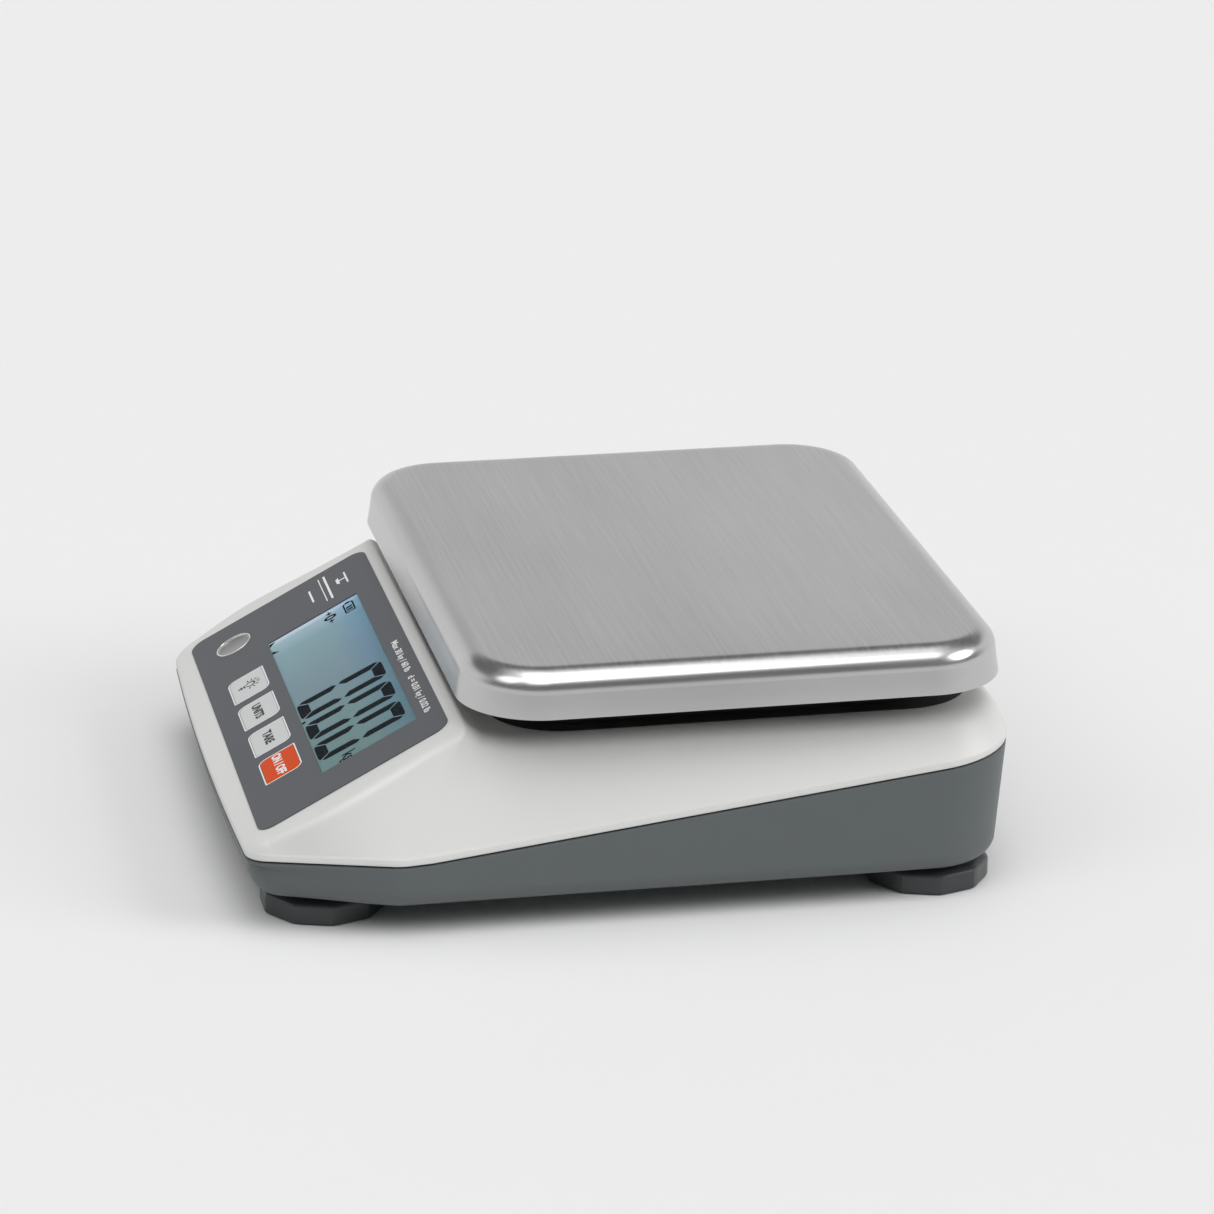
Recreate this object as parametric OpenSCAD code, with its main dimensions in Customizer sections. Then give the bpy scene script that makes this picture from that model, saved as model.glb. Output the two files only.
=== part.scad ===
// Bench counting scale: pressed steel pan on a single-point load cell, light top cover with an
// inclined display panel, dark bottom housing and four screw feet.
// Frame: +Z up, +X to the reader's right, the display faces -Y, origin at the bottom centre.

/* [Pan] */
// Width of the weighing pan at its fold, left to right
pan_w = 240; // [236:1:244]
// Depth of the weighing pan at its fold, front to back
pan_d = 190; // [186:1:192]
// Height of the weighing surface above the table
pan_top = 97.5; // [97:0.5:100]
// Height of the pan's folded rim
pan_rim = 16.5; // [15:0.5:17]
// Plan radius of the pan's corners
pan_corner = 28; // [20:1:36]
// Outer radius of the fold between the pan's top and its rim
pan_fold = 7.6; // [5:0.1:9]
// How far the rim leans out by its lower edge
pan_flare = 1.3; // [0.5:0.1:2]
// Thickness of the pan's steel sheet
pan_sheet = 1.2; // [0.8:0.1:1.5]
// Distance of the pan's centre behind the middle of the scale
pan_y = 35; // [34:0.5:36]

/* [Housing] */
// Overall depth of the housing, front to back
body_d = 274; // [272:1:278]
// Width of the housing behind the display panel
body_w = 230; // [228:1:234]
// Width of the housing at its front corners
front_w = 204.4; // [200:0.2:208]
// Height of the seam between cover and housing along the front
seam_front = 28; // [27:0.5:29]
// Height of the seam at the back
seam_back = 54; // [52:0.5:56]
// Distance from the front to where the seam starts to rise
seam_bend = 60; // [56:1:64]
// Height of the housing's underside above the table
floor_z = 11.6; // [11:0.1:12]
// Wall thickness of the plastic shells
wall = 2.5; // [2:0.1:3]

/* [Display panel] */
// Slope of the display panel
panel_angle = 28.3; // [27.5:0.1:29]
// Width of the printed overlay
panel_w = 187.6; // [184:0.2:190]
// Length of the overlay along the slope
panel_l = 75.4; // [74:0.1:77]
// Distance of the overlay's lower edge from the front
panel_set = 7.4; // [7:0.1:8]
// Height of the overlay's lower edge above the table
panel_z = 35.7; // [35.4:0.1:36]
// Width of the display window
window_w = 132; // [120:1:134]
// Height of the display window along the slope
window_h = 38; // [34:0.5:38]
// Width of a key
key_w = 20; // [18:0.5:21]
// Height of a key along the slope
key_h = 13.7; // [12:0.1:14]
// Distance between the centres of neighbouring keys
key_pitch = 26.5; // [24:0.5:28]

/* [Feet] */
// Distance between the front feet
foot_front = 148; // [144:1:150]
// Distance between the rear feet
foot_rear = 171.6; // [168:0.2:174]
// Diameter of a foot's knob across its corners
knob_d = 45.5; // [36:0.5:46]
// Number of flats on a knob
knob_flats = 10; // [8, 10, 12]
// Thread diameter of a foot
thread_d = 8; // [6:1:8]

/* [Hidden] */

$fn = 64;
hull_fn = 32;                        // facets round the corners of the moulded shells
far = 400;                           // larger than the whole scale

// Housing outline: each corner is a circle [x, y, radius], front, bend and back
front_r = 8;
bend_r = 20;
back_r = 25;
front_y = -body_d / 2;
back_y = body_d / 2;
bend_y = front_y + seam_bend;
seam_rise = (seam_back - seam_front) / (back_y - bend_y);
seam_corners = [[front_w / 2 - front_r, front_y + front_r, front_r, seam_front],
    [body_w / 2 - bend_r, bend_y - 4.6, bend_r, seam_front],
    [body_w / 2 - back_r, back_y - back_r, back_r, seam_back]];
// The same corners at the underside, drawn in by the mould's draft: [inward, back, radius]
draft = [[-0.4, 1, 0], [-0.4, 0.6, 0], [-1, -4.1, -1.5]];
lip = 3;                             // height of the cover's upright edge above the seam
lap = 4;                             // how far each shell is drawn past the seam before it is cut
deck = [184, 146];                   // raised deck under the pan, hidden behind its rim
deck_r = 18;
deck_z = 86;
deck_y = pan_y;
edge_r = 7.5;                        // rounding of the underside's edge

// Display panel, in its own plane: x right, y up the slope, z out of the face
panel_y = front_y + panel_set;
overlay_t = 0.4;
panel_r = 6;
window_c = [9, 47];
key_y = 15.55;
key_x0 = -30.1;
level_c = [-73.4, 15.9];
level_r = 7.2;
glass = [140, 46, 2.8];
backlight_t = 4;
frame_border = 4;
frame_t = 6;
frame_leg = [71.8, 24.2];            // legs that carry the main board, from the window's centre
board_t = 1.6;
board_z = -12;
keypad_z = -6.2;
keypad = [112, 14.8];
keypad_c = [9.65, 12.6];
keypad_screw = 52;                   // each fixing screw's distance from the middle of the keypad board
key_crown = 0.25;

// Load path
cell = [30, 130, 22];
cell_z = 26.1;
cell_y0 = pan_y - cell[1] / 2;
spacer_l = 34;
spacer_t = 8;
hub_z = cell_z + cell[2] + spacer_t;
arm_t = 8;
post = [75, 55];
post_r = 6;
buffer_r = 9;
buffer_h = 6.3;
pan_under = pan_top - pan_sheet;
screw_y = 10;
stop_c = [28, 20.5];
stop_r = 3;
stop_gap = 0.55;
m6_r = 3;
gauge_y = 14;                        // distance of the cell's two thinned sections from its middle
cell_pad_z = 18;                     // top of the boss the cell stands on
counterbore = 4.2;

// Battery, under the left of the platform
battery = [51, 97, 24];
battery_c = [-74.5, 23.5];
battery_z = 15.2;
door_t = 1.7;
door = [60, 104];
door_gap = 0.1;
rail = [2, 1.2];                     // width and thickness of the lip that holds the door

// Feet
foot_y = [-104.7, 110.1];
pad_t = 1.5;
pad_r = 17;
pad_gap = 0.05;
knob_z = pad_t + pad_gap;
knob_h = 7.5;
knob_edge = 1.8;
knob_skirt = 1.15;                   // how far its rim reaches down around the pad
stud_top = 24;
insert_r = 5.5;
insert_h = 12;
thread_gap = 0.04;

// Cover screws
cover_screw = [[88, -45, 71], [88, 82, 67.5]];  // [x, y, top of the cover's boss]
screw_r = 1.5;
boss_r = 5;
boss_top = 40;
cover_boss_r = 4.5;

// Power socket and wiring
socket_x = 55;
socket_y = back_y - 4.9;
socket_z = 34;
socket_r = 5;
cable_r = 1.8;
battery_lead_r = 1.1;
socket_lead_r = 1;
cell_route = [[15.2, 35, 37], [19, 34, 36], [21, 20, 30], [21, -8, 20], [20, -34, 19], [16, -52, 26],
    [12, -62, 38], [9.5, -66.2, 47]];
// Routes of the paired leads: [x, half the gap between the pair, y, z]
battery_route = [[-74.5, 15, -31.5, 30.8], [-72, 13, -38, 31], [-66, 6, -52, 36], [-58, 2.5, -62, 42],
    [-54.5, 2, -66.4, 47]];
socket_route = [[55, 2.5, 115, 34], [56, 2, 108, 31], [58, 1.5, 90, 22], [60, 1.5, 40, 18],
    [62, 1.5, -20, 18], [68, 1.5, -48, 26], [71, 2, -62, 38], [71, 2, -66.4, 47]];

function foot_xy(k) = [(k % 2 == 0 ? -1 : 1) * (k < 2 ? foot_front : foot_rear) / 2, foot_y[k < 2 ? 0 : 1]];
function seam_z(y) = seam_front + max(0, y - bend_y) * seam_rise;

// ---- helpers ----

// Places its children on the display panel's face
module on_panel() translate([0, panel_y, panel_z]) rotate([panel_angle, 0, 0]) children();

// A rectangle with the same radius on every corner, centred
module rounded(w, h, r) {
    square([w - 2 * r, h], center = true);
    square([w, h - 2 * r], center = true);
    for (x = [-1, 1], y = [-1, 1]) translate([x * (w / 2 - r), y * (h / 2 - r)]) circle(r);
}

// A disc-ended bar from one point to another, seen from above
module bar(a, b, r) {
    d = b - a;
    translate(a) rotate(atan2(d[1], d[0])) translate([0, -r]) square([norm(d), 2 * r]);
    translate(a) circle(r);
    translate(b) circle(r);
}

// Left and right copies
module both_sides() for (s = [-1, 1]) scale_x(s) children();
module scale_x(s) if (s < 0) mirror([1, 0, 0]) children(); else children();

// Space below the seam, or above it, right across the scale
module seam_side(above) {
    z = above ? far : -far;
    rotate([90, 0, 90]) translate([0, 0, -far / 2]) linear_extrude(far)
        polygon([[-far, z], [-far, seam_front], [bend_y, seam_front], [far, seam_z(far)], [far, z]]);
}

// A cross-headed machine screw pointing down from the underside of its head
module screw(r, l, head_r, head_h) {
    translate([0, 0, -l]) cylinder(r = r, h = l);
    difference() {
        cylinder(r = head_r, h = head_h);
        for (a = [0, 90]) rotate(a) translate([-head_r * 0.55, -0.5, head_h * 0.4])
            cube([head_r * 1.1, 1, head_h]);
    }
}

// Points on a smooth curve through a list of points
function curve_at(p, i, t) = let (a = p[max(0, i - 1)], b = p[i], c = p[i + 1], d = p[min(len(p) - 1, i + 2)])
    0.5 * (2 * b + (c - a) * t + (2 * a - 5 * b + 4 * c - d) * t * t + (3 * b - a - 3 * c + d) * t * t * t);
function curve(p, n) = [for (i = [0:len(p) - 2], k = [0:n - 1]) curve_at(p, i, k / n), p[len(p) - 1]];
function unit(v) = v / norm(v);
function heading(p, i) = unit(p[min(len(p) - 1, i + 1)] - p[max(0, i - 1)]);

// A round wire swept along a list of points; side is never along the wire
module wire(points, r, n = 4, sides = 8, side = [1, 0.1, 0.3]) {
    p = curve(points, n);
    rings = [for (i = [0:len(p) - 1]) let (h = heading(p, i), u = unit(cross(h, side)), v = cross(h, u))
        for (k = [0:sides - 1]) p[i] + r * (cos(360 * k / sides) * u + sin(360 * k / sides) * v)];
    walls = [for (i = [0:len(p) - 2], k = [0:sides - 1]) let (m = (k + 1) % sides)
        [i * sides + k, i * sides + m, (i + 1) * sides + m, (i + 1) * sides + k]];
    first = [for (k = [sides - 1:-1:0]) k];
    last = [for (k = [0:sides - 1]) (len(p) - 1) * sides + k];
    polyhedron(rings, concat(walls, [first, last]));
}

// ---- pan and platform ----

// Section through the pan's edge, from the middle of a corner out to the rim
module pan_section() {
    straight = pan_rim - pan_fold;
    translate([0, pan_rim - pan_sheet]) square([pan_corner - pan_fold, pan_sheet]);
    polygon([[pan_corner - pan_sheet, straight], [pan_corner + pan_flare - pan_sheet, 0],
        [pan_corner + pan_flare, 0], [pan_corner, straight]]);
    translate([pan_corner - pan_fold, straight]) intersection() {
        difference() {
            circle(pan_fold);
            circle(pan_fold - pan_sheet);
        }
        square(pan_fold);
    }
}

// One straight edge of the pan, running along +Y from the origin
module pan_edge(l) rotate([90, 0, 180]) mirror([1, 0, 0]) linear_extrude(l) pan_section();

module weighing_pan() color("silver") {
    cx = pan_w / 2 - pan_corner;
    cy = pan_d / 2 - pan_corner;
    translate([0, pan_y, pan_top - pan_rim]) {
        for (k = [0:3]) rotate(90 * k) {
            c = k % 2 == 0 ? [cx, cy] : [cy, cx];
            translate(c) rotate_extrude(angle = 90) pan_section();
            translate([c[0], -c[1], 0]) pan_edge(2 * c[1]);
        }
        translate([-cx, -cy, pan_rim - pan_sheet]) cube([2 * cx, 2 * cy, pan_sheet]);
    }
}

module at_posts() for (x = [-1, 1], y = [-1, 1]) translate([x * post[0], pan_y + y * post[1], 0]) children();

module pan_locators() color("silver") at_posts() translate([0, 0, pan_under - buffer_h]) difference() {
    cylinder(r = buffer_r + 2, h = buffer_h);
    translate([0, 0, -1]) cylinder(r = buffer_r + 0.8, h = buffer_h + 2);
}

module platform_spider() color("lightgray") {
    hub_y = cell_y0 + spacer_l / 2;
    difference() {
        union() {
            translate([0, 0, hub_z]) linear_extrude(arm_t) {
                for (x = [-1, 1], y = [-1, 1]) bar([0, pan_y], [x * post[0], pan_y + y * post[1]], 9);
                translate([0, (hub_y + pan_y) / 2]) rounded(40, pan_y - hub_y + 36, 8);
            }
            at_posts() translate([0, 0, hub_z]) cylinder(r = post_r, h = pan_under - buffer_h - hub_z);
        }
        for (y = [-1, 1]) translate([0, hub_y + y * screw_y, hub_z - 1]) cylinder(r = m6_r, h = arm_t + 2);
    }
}

module pan_buffers() color("dimgray") at_posts() translate([0, 0, pan_under - buffer_h])
    cylinder(r = buffer_r, h = buffer_h);

module load_cell() color("lightgray") {
    hole_r = 8;
    difference() {
        translate([-cell[0] / 2, cell_y0, cell_z]) cube(cell);
        for (y = [-1, 1]) translate([-far / 2, pan_y + y * gauge_y, cell_z + cell[2] / 2])
            rotate([0, 90, 0]) cylinder(r = hole_r, h = far);
        translate([-far / 2, pan_y - gauge_y, cell_z + cell[2] / 2 - 2]) cube([far, 2 * gauge_y, 4]);
        for (y = [-1, 1]) {
            translate([0, cell_y0 + spacer_l / 2 + y * screw_y, cell_z + 6]) cylinder(r = m6_r, h = far);
            translate([0, cell_y0 + cell[1] - spacer_l / 2 + y * screw_y, cell_z - far + 16])
                cylinder(r = m6_r, h = far);
        }
    }
}

// Soft potting over the strain gauges, at both ends of each hole in the cell
module gauge_seals() color("white") for (x = [-1, 1], y = [-1, 1])
    translate([x * (cell[0] / 2 - 1.5), pan_y + y * gauge_y, cell_z + cell[2] / 2])
        rotate([0, 90, 0]) cylinder(r = 7.95, h = 2, center = true);

module cell_base_spacer() color("silver") difference() {
    translate([-cell[0] / 2, cell_y0 + cell[1] - spacer_l, cell_pad_z])
        cube([cell[0], spacer_l, cell_z - cell_pad_z]);
    for (y = [-1, 1]) translate([0, cell_y0 + cell[1] - spacer_l / 2 + y * screw_y, 0])
        cylinder(r = m6_r, h = far);
}

module cell_top_spacer() color("silver") difference() {
    translate([-cell[0] / 2, cell_y0, cell_z + cell[2]]) cube([cell[0], spacer_l, spacer_t]);
    for (y = [-1, 1]) translate([0, cell_y0 + spacer_l / 2 + y * screw_y, 0]) cylinder(r = m6_r, h = far);
}

module cell_top_screws() color("gray") for (y = [-1, 1])
    translate([0, cell_y0 + spacer_l / 2 + y * screw_y, hub_z + arm_t]) screw(m6_r, 30, 5, 4);

module cell_base_screws() color("gray") for (y = [-1, 1])
    translate([0, cell_y0 + cell[1] - spacer_l / 2 + y * screw_y, floor_z + counterbore]) rotate([180, 0, 0])
        screw(m6_r, 24, 5, 3.6);

module at_stops() for (x = [-1, 1], y = [-1, 1])
    translate([x * stop_c[0], pan_y + y * stop_c[1], 0]) children();

module overload_stops() color("gray") at_stops() translate([0, 0, boss_top])
    cylinder(r = stop_r, h = hub_z - stop_gap - boss_top);

// ---- shells ----

// The moulded body of the cover, drawn in by inset all round; down lowers its open edge
module cover_body(inset, down) hull() both_sides() {
    for (c = seam_corners) translate([c[0], c[1], c[3] - down])
        cylinder(r = c[2] - inset, h = lip + down, $fn = hull_fn);
    on_panel() for (p = [[95, -1, 5], [101, 26.8, 6], [97, 76.5, 6]])
        translate([p[0], p[1], -overlay_t - p[2]]) sphere(p[2] - inset, $fn = hull_fn);
    for (a = [0, 45, 90]) translate([84 + 15 * cos(a), back_y - 26 + 15 * sin(a), 62])
        sphere(6 - inset, $fn = hull_fn);
}

module top_cover() color("gainsboro") difference() {
    union() {
        difference() {
            union() {
                cover_body(0, lap);
                translate([0, deck_y, deck_z - far / 8]) linear_extrude(far / 8) rounded(deck[0], deck[1], deck_r);
            }
            cover_body(wall, 20);
            translate([0, deck_y, deck_z - wall - far / 8]) linear_extrude(far / 8)
                rounded(deck[0] - 2 * wall, deck[1] - 2 * wall, deck_r - wall);
            seam_side(false);
        }
        for (p = cover_screw) both_sides() translate([p[0], p[1], boss_top])
            cylinder(r = cover_boss_r, h = p[2] - boss_top);
        on_panel() at_keypad_screws() translate([0, 0, keypad_z + board_t]) cylinder(r = 1.9, h = 3);
    }
    for (p = cover_screw) both_sides() translate([p[0], p[1], boss_top - 1]) cylinder(r = screw_r, h = 17);
    on_panel() at_keypad_screws() translate([0, 0, keypad_z]) cylinder(r = 1, h = board_t + 1.5);
    at_posts() cylinder(r = buffer_r + 3.5, h = far);
    on_panel() {
        translate([window_c[0], window_c[1], -10]) linear_extrude(10)
            square([glass[0] + 1, glass[1] + 1], center = true);
        for (k = [0:3]) translate([key_x0 + k * key_pitch, key_y, -10]) linear_extrude(20)
            square([key_w + 0.6, key_h + 0.6], center = true);
        translate([level_c[0], level_c[1], -10]) cylinder(r = level_r + 1.3, h = 20);
    }
}

// The moulded body of the bottom housing, drawn in by inset, from z0 up
module housing_body(inset, z0) hull() both_sides() for (k = [0:2]) {
    c = seam_corners[k];
    d = draft[k];
    edge = edge_r - inset;
    translate([c[0], c[1], c[3]]) cylinder(r = c[2] - inset, h = lap, $fn = hull_fn);
    for (a = [0, 45, 90]) translate([c[0] + d[0] - d[2], c[1] + d[1] - d[2], z0 + edge * (1 - sin(a))])
        cylinder(r = c[2] + d[2] - inset - edge * (1 - cos(a)), h = 0.1, $fn = hull_fn);
}

// Two L-shaped rails on the underside, which the battery door slides in along X
module door_rails() for (s = [-1, 1]) translate([battery_c[0] - door[0] / 2, battery_c[1], floor_z + 0.5]) {
    drop = 0.5 + door_t + door_gap + rail[1];
    y = door[1] / 2 + door_gap;
    translate([0, s > 0 ? y : -y - rail[0], -drop]) cube([door[0], rail[0], drop]);
    translate([0, s > 0 ? y - rail[0] : -y - rail[0], -drop]) cube([door[0], 2 * rail[0], rail[1]]);
}

module bottom_housing() color("slategray") difference() {
    union() {
        intersection() {
            difference() {
                housing_body(0, floor_z);
                difference() {
                    housing_body(wall, floor_z + wall);
                    translate([-18, cell_y0 + cell[1] - spacer_l - 2, 0]) cube([36, spacer_l + 4, cell_pad_z]);
                }
            }
            seam_side(false);
        }
        for (k = [0:3]) translate([foot_xy(k)[0], foot_xy(k)[1], floor_z + 1]) cylinder(r = 8, h = 13.4);
        for (p = cover_screw) both_sides() translate([p[0], p[1], floor_z + 1])
            cylinder(r = boss_r, h = boss_top - floor_z - 1);
        at_stops() translate([0, 0, floor_z + 1]) cylinder(r = boss_r, h = boss_top - floor_z - 1);
        door_rails();
    }
    for (k = [0:3]) translate([foot_xy(k)[0], foot_xy(k)[1], 0]) cylinder(r = insert_r, h = far);
    for (p = cover_screw) both_sides() translate([p[0], p[1], 0]) {
        cylinder(r = screw_r, h = far);
        cylinder(r = 3.4, h = 30);
    }
    for (y = [-1, 1]) translate([0, cell_y0 + cell[1] - spacer_l / 2 + y * screw_y, 0]) {
        cylinder(r = m6_r, h = far);
        cylinder(r = 5.2, h = floor_z + counterbore);
    }
    translate([battery_c[0] - battery[0] / 2 - 1, battery_c[1] - battery[1] / 2 - 1, 0])
        cube([battery[0] + 2, battery[1] + 2, floor_z + 4]);
    translate([socket_x, back_y - 10, socket_z]) rotate([-90, 0, 0]) cylinder(r = socket_r, h = 20);
    translate([socket_x, socket_y, socket_z]) rotate([-90, 0, 0]) cylinder(r = 8.2, h = 20);
}

// Self-tapping screws that hold the cover down, driven from below
module cover_screws() color("gray") for (p = cover_screw) both_sides()
    translate([p[0], p[1], 30]) rotate([180, 0, 0]) screw(screw_r, 25, 3.1, 2.2);

// ---- display panel ----

module panel_overlay() color("dimgray") on_panel() translate([0, 0, -overlay_t]) linear_extrude(overlay_t)
    difference() {
        translate([0, panel_l / 2]) rounded(panel_w, panel_l, panel_r);
        translate(window_c) square([window_w, window_h], center = true);
        for (k = [0:3]) translate([key_x0 + k * key_pitch, key_y])
            square([key_w + 0.2, key_h + 0.2], center = true);
        translate(level_c) circle(level_r);
    }

module display_window() color("lightcyan") on_panel() translate([window_c[0], window_c[1], -overlay_t])
    linear_extrude(overlay_t) square([window_w, window_h], center = true);

module display_glass() color("cadetblue") on_panel()
    translate([window_c[0], window_c[1], -overlay_t - 0.1 - glass[2] / 2]) cube(glass, center = true);

module display_backlight() color("white") on_panel()
    translate([window_c[0], window_c[1], -overlay_t - 0.1 - glass[2] - backlight_t / 2])
        cube([glass[0], glass[1], backlight_t], center = true);

module at_frame_legs() for (x = [-1, 1], y = [-1, 1])
    translate([x * frame_leg[0], y * frame_leg[1], 0]) children();

module display_frame() color("black") on_panel()
    translate([window_c[0], window_c[1], -overlay_t - wall - frame_t]) difference() {
        leg = -overlay_t - wall - frame_t - board_z - board_t;
        union() {
            linear_extrude(frame_t) rounded(glass[0] + 2 * frame_border, glass[1] + 2 * frame_border - 3, 2);
            at_frame_legs() translate([0, 0, -leg]) cylinder(r = 2, h = leg + 1);
        }
        at_frame_legs() translate([0, 0, -leg - 1]) cylinder(r = 1, h = 5);
        translate([0, 0, 1.5]) linear_extrude(far) square([glass[0], glass[1]], center = true);
        translate([0, 0, -1]) linear_extrude(far) square([glass[0] - 6, glass[1] - 6], center = true);
    }

// A key: two opposite corners are round, the others are square; a stem reaches down to its dome
module key(k) on_panel() translate([key_x0 + k * key_pitch, key_y, 0]) {
    r = 3;
    translate([0, 0, -1.4]) linear_extrude(1.4 + key_crown) {
        square([key_w - 2 * r, key_h], center = true);
        square([key_w, key_h - 2 * r], center = true);
        for (s = [-1, 1]) {
            translate([s * (key_w / 2 - r), s * (key_h / 2 - r)]) circle(r);
            translate([s * (key_w / 2 - r / 2), -s * (key_h / 2 - r / 2)]) square(r, center = true);
        }
    }
    translate([0, 0, -4]) linear_extrude(2.6) rounded(9, 8, 1);
}

module key_light() color("gainsboro") key(0);
module key_units() color("gainsboro") key(1);
module key_tare() color("gainsboro") key(2);
module key_power() color("orangered") key(3);

module key_domes() color("silver") on_panel() for (k = [0:3])
    translate([key_x0 + k * key_pitch, key_y, keypad_z + board_t]) cylinder(r = 4, h = 0.59);

module at_keypad_screws() for (x = [-1, 1])
    translate([keypad_c[0] + x * keypad_screw, keypad_c[1], 0]) children();

module keypad_board() color("seagreen") on_panel() difference() {
    translate([keypad_c[0], keypad_c[1], keypad_z]) linear_extrude(board_t) rounded(keypad[0], keypad[1], 1);
    at_keypad_screws() translate([0, 0, -far / 2]) cylinder(r = 1, h = far);
}

module main_board() color("seagreen") on_panel() translate([window_c[0], window_c[1], board_z])
    linear_extrude(board_t) difference() {
        rounded(154, 53, 2);
        for (x = [-1, 1], y = [-1, 1]) translate([x * frame_leg[0], y * frame_leg[1]]) circle(1);
    }

// Components on the back of the main board: chips, capacitors, a crystal and a regulator
module board_parts() color("black") on_panel() translate([window_c[0], window_c[1], board_z]) {
    for (p = [[-40, 4, 14, 14, 2.2], [-8, -8, 10, 7, 1.8], [18, 10, 8, 6, 1.8], [34, -12, 10, 9, 4.4]])
        translate([p[0] - p[2] / 2, p[1] - p[3] / 2, -p[4]]) cube([p[2], p[3], p[4]]);
    for (p = [[52, 10, 3.2, 7], [44, 8, 2.5, 5], [-22, 14, 2.5, 5]])
        translate([p[0], p[1], -p[3]]) cylinder(r = p[2], h = p[3]);
}

module board_sockets() color("ivory") on_panel() translate([window_c[0], window_c[1], board_z])
    for (x = [-62, 0, 62]) difference() {
        translate([x - 6, 17, -7]) cube([12, 6, 7]);
        translate([x - 5, 18, -8]) cube([10, 4, 6]);
    }

module board_screws() color("gray") on_panel() {
    translate([window_c[0], window_c[1], board_z]) at_frame_legs() rotate([180, 0, 0])
        screw(1, board_t + 4, 2, 1.4);
    at_keypad_screws() translate([0, 0, keypad_z]) rotate([180, 0, 0]) screw(1, board_t + 1.5, 2, 1.4);
}

module buzzer() color("black") on_panel() translate([window_c[0] - 64, window_c[1] - 10, board_z - 8])
    difference() {
        cylinder(r = 6, h = 8);
        translate([0, 0, -1]) cylinder(r = 1, h = 4);
    }

// ---- spirit level ----

module level_housing() color("whitesmoke") on_panel() translate([level_c[0], level_c[1], -9]) difference() {
    union() {
        cylinder(r = level_r + 1.2, h = 9 - overlay_t);
        cylinder(r = level_r + 2.2, h = 9 - overlay_t - wall - 0.1);
    }
    translate([0, 0, 1.5]) cylinder(r = level_r - 1, h = far);
}

module level_fluid() color("palegreen") on_panel() translate([level_c[0], level_c[1], -7.5]) difference() {
    cylinder(r = level_r - 1, h = 6.2);
    translate([0, 0, 5.2]) cylinder(r = 2, h = far);
}

module level_lens() color("lightcyan") on_panel() translate([level_c[0], level_c[1], -1.3])
    cylinder(r = level_r - 1, h = 1.3 - overlay_t);

module level_ring() color("silver") on_panel() translate([level_c[0], level_c[1], -overlay_t]) difference() {
    cylinder(r = level_r, h = overlay_t + 0.3);
    translate([0, 0, -1]) cylinder(r = level_r - 1, h = far);
}

// ---- power ----

module battery() color("darkslategray") {
    translate([battery_c[0] - battery[0] / 2, battery_c[1] - battery[1] / 2, battery_z]) cube(battery);
    for (x = [-1, 1]) translate([battery_c[0] + x * 15 - 2.4, battery_c[1] - battery[1] / 2 - 6, 30])
        cube([4.8, 6, 0.8]);
}

module battery_bracket() color("silver") {
    t = 1.2;
    w = 14;
    h = battery_z + battery[2] - floor_z - wall;
    half = battery[0] / 2 + 0.2;
    translate([battery_c[0], battery_c[1] - w / 2, floor_z + wall]) difference() {
        union() {
            translate([-half - t, 0, 0]) cube([2 * half + 2 * t, w, h + t]);
            translate([half, 0, 0]) cube([12, w, t]);
        }
        translate([-half, -1, -1]) cube([2 * half, w + 2, h + 1]);
        translate([half + 7, w / 2, -1]) cylinder(r = screw_r, h = far);
    }
}

module bracket_screws() color("gray")
    translate([battery_c[0] + battery[0] / 2 + 7.2, battery_c[1], floor_z + wall + 1.2])
        screw(screw_r, 1.2, 3, 2);

// Sliding plate under the battery, with a ribbed thumb grip at its outer end
module battery_door() color("slategray") difference() {
    translate([battery_c[0] - door[0] / 2, battery_c[1] - door[1] / 2, floor_z - door_t])
        cube([door[0], door[1], door_t]);
    for (i = [0:4]) translate([battery_c[0] - door[0] / 2 + 5 + 3 * i, battery_c[1] - 12, floor_z - door_t - 1])
        cube([1.2, 24, 1.6]);
}

module power_socket() color("black") translate([socket_x, socket_y, socket_z]) rotate([-90, 0, 0]) {
    difference() {
        union() {
            cylinder(r = 7.5, h = 1.8);
            translate([0, 0, -16]) cylinder(r = socket_r, h = 16);
        }
        translate([0, 0, -9]) cylinder(r = 3, h = far);
    }
    translate([0, 0, -10]) cylinder(r = 1, h = 10.5);
}

module socket_nut() color("silver") translate([socket_x, back_y - 13.2, socket_z]) rotate([-90, 0, 0])
    difference() {
        cylinder(r = 8, h = 3, $fn = 6);
        translate([0, 0, -1]) cylinder(r = socket_r, h = 6);
    }

// ---- wiring, clipped inside the housing ----

module cell_cable() color("gray") wire(cell_route, cable_r);

// Two leads side by side along a route
module lead_pair(route, r) for (x = [-1, 1])
    wire([for (p = route) [p[0] + x * p[1], p[2], p[3]]], r);

module battery_leads() color("firebrick") lead_pair(battery_route, battery_lead_r);
module socket_leads() color("black") lead_pair(socket_route, socket_lead_r);

// Flat cable from the keypad board down to the main board
module display_ribbon() color("lightgray") on_panel() translate([window_c[0] - 12, 19.2, board_z + board_t]) {
    cube([24, 0.4, keypad_z - board_z - board_t]);
    cube([24, 5, 0.4]);
}

// ---- feet ----

module foot_inserts() color("goldenrod") for (k = [0:3])
    translate([foot_xy(k)[0], foot_xy(k)[1], floor_z + 1]) difference() {
        cylinder(r = insert_r, h = insert_h);
        translate([0, 0, -1]) cylinder(r = thread_d / 2, h = far);
    }

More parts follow.
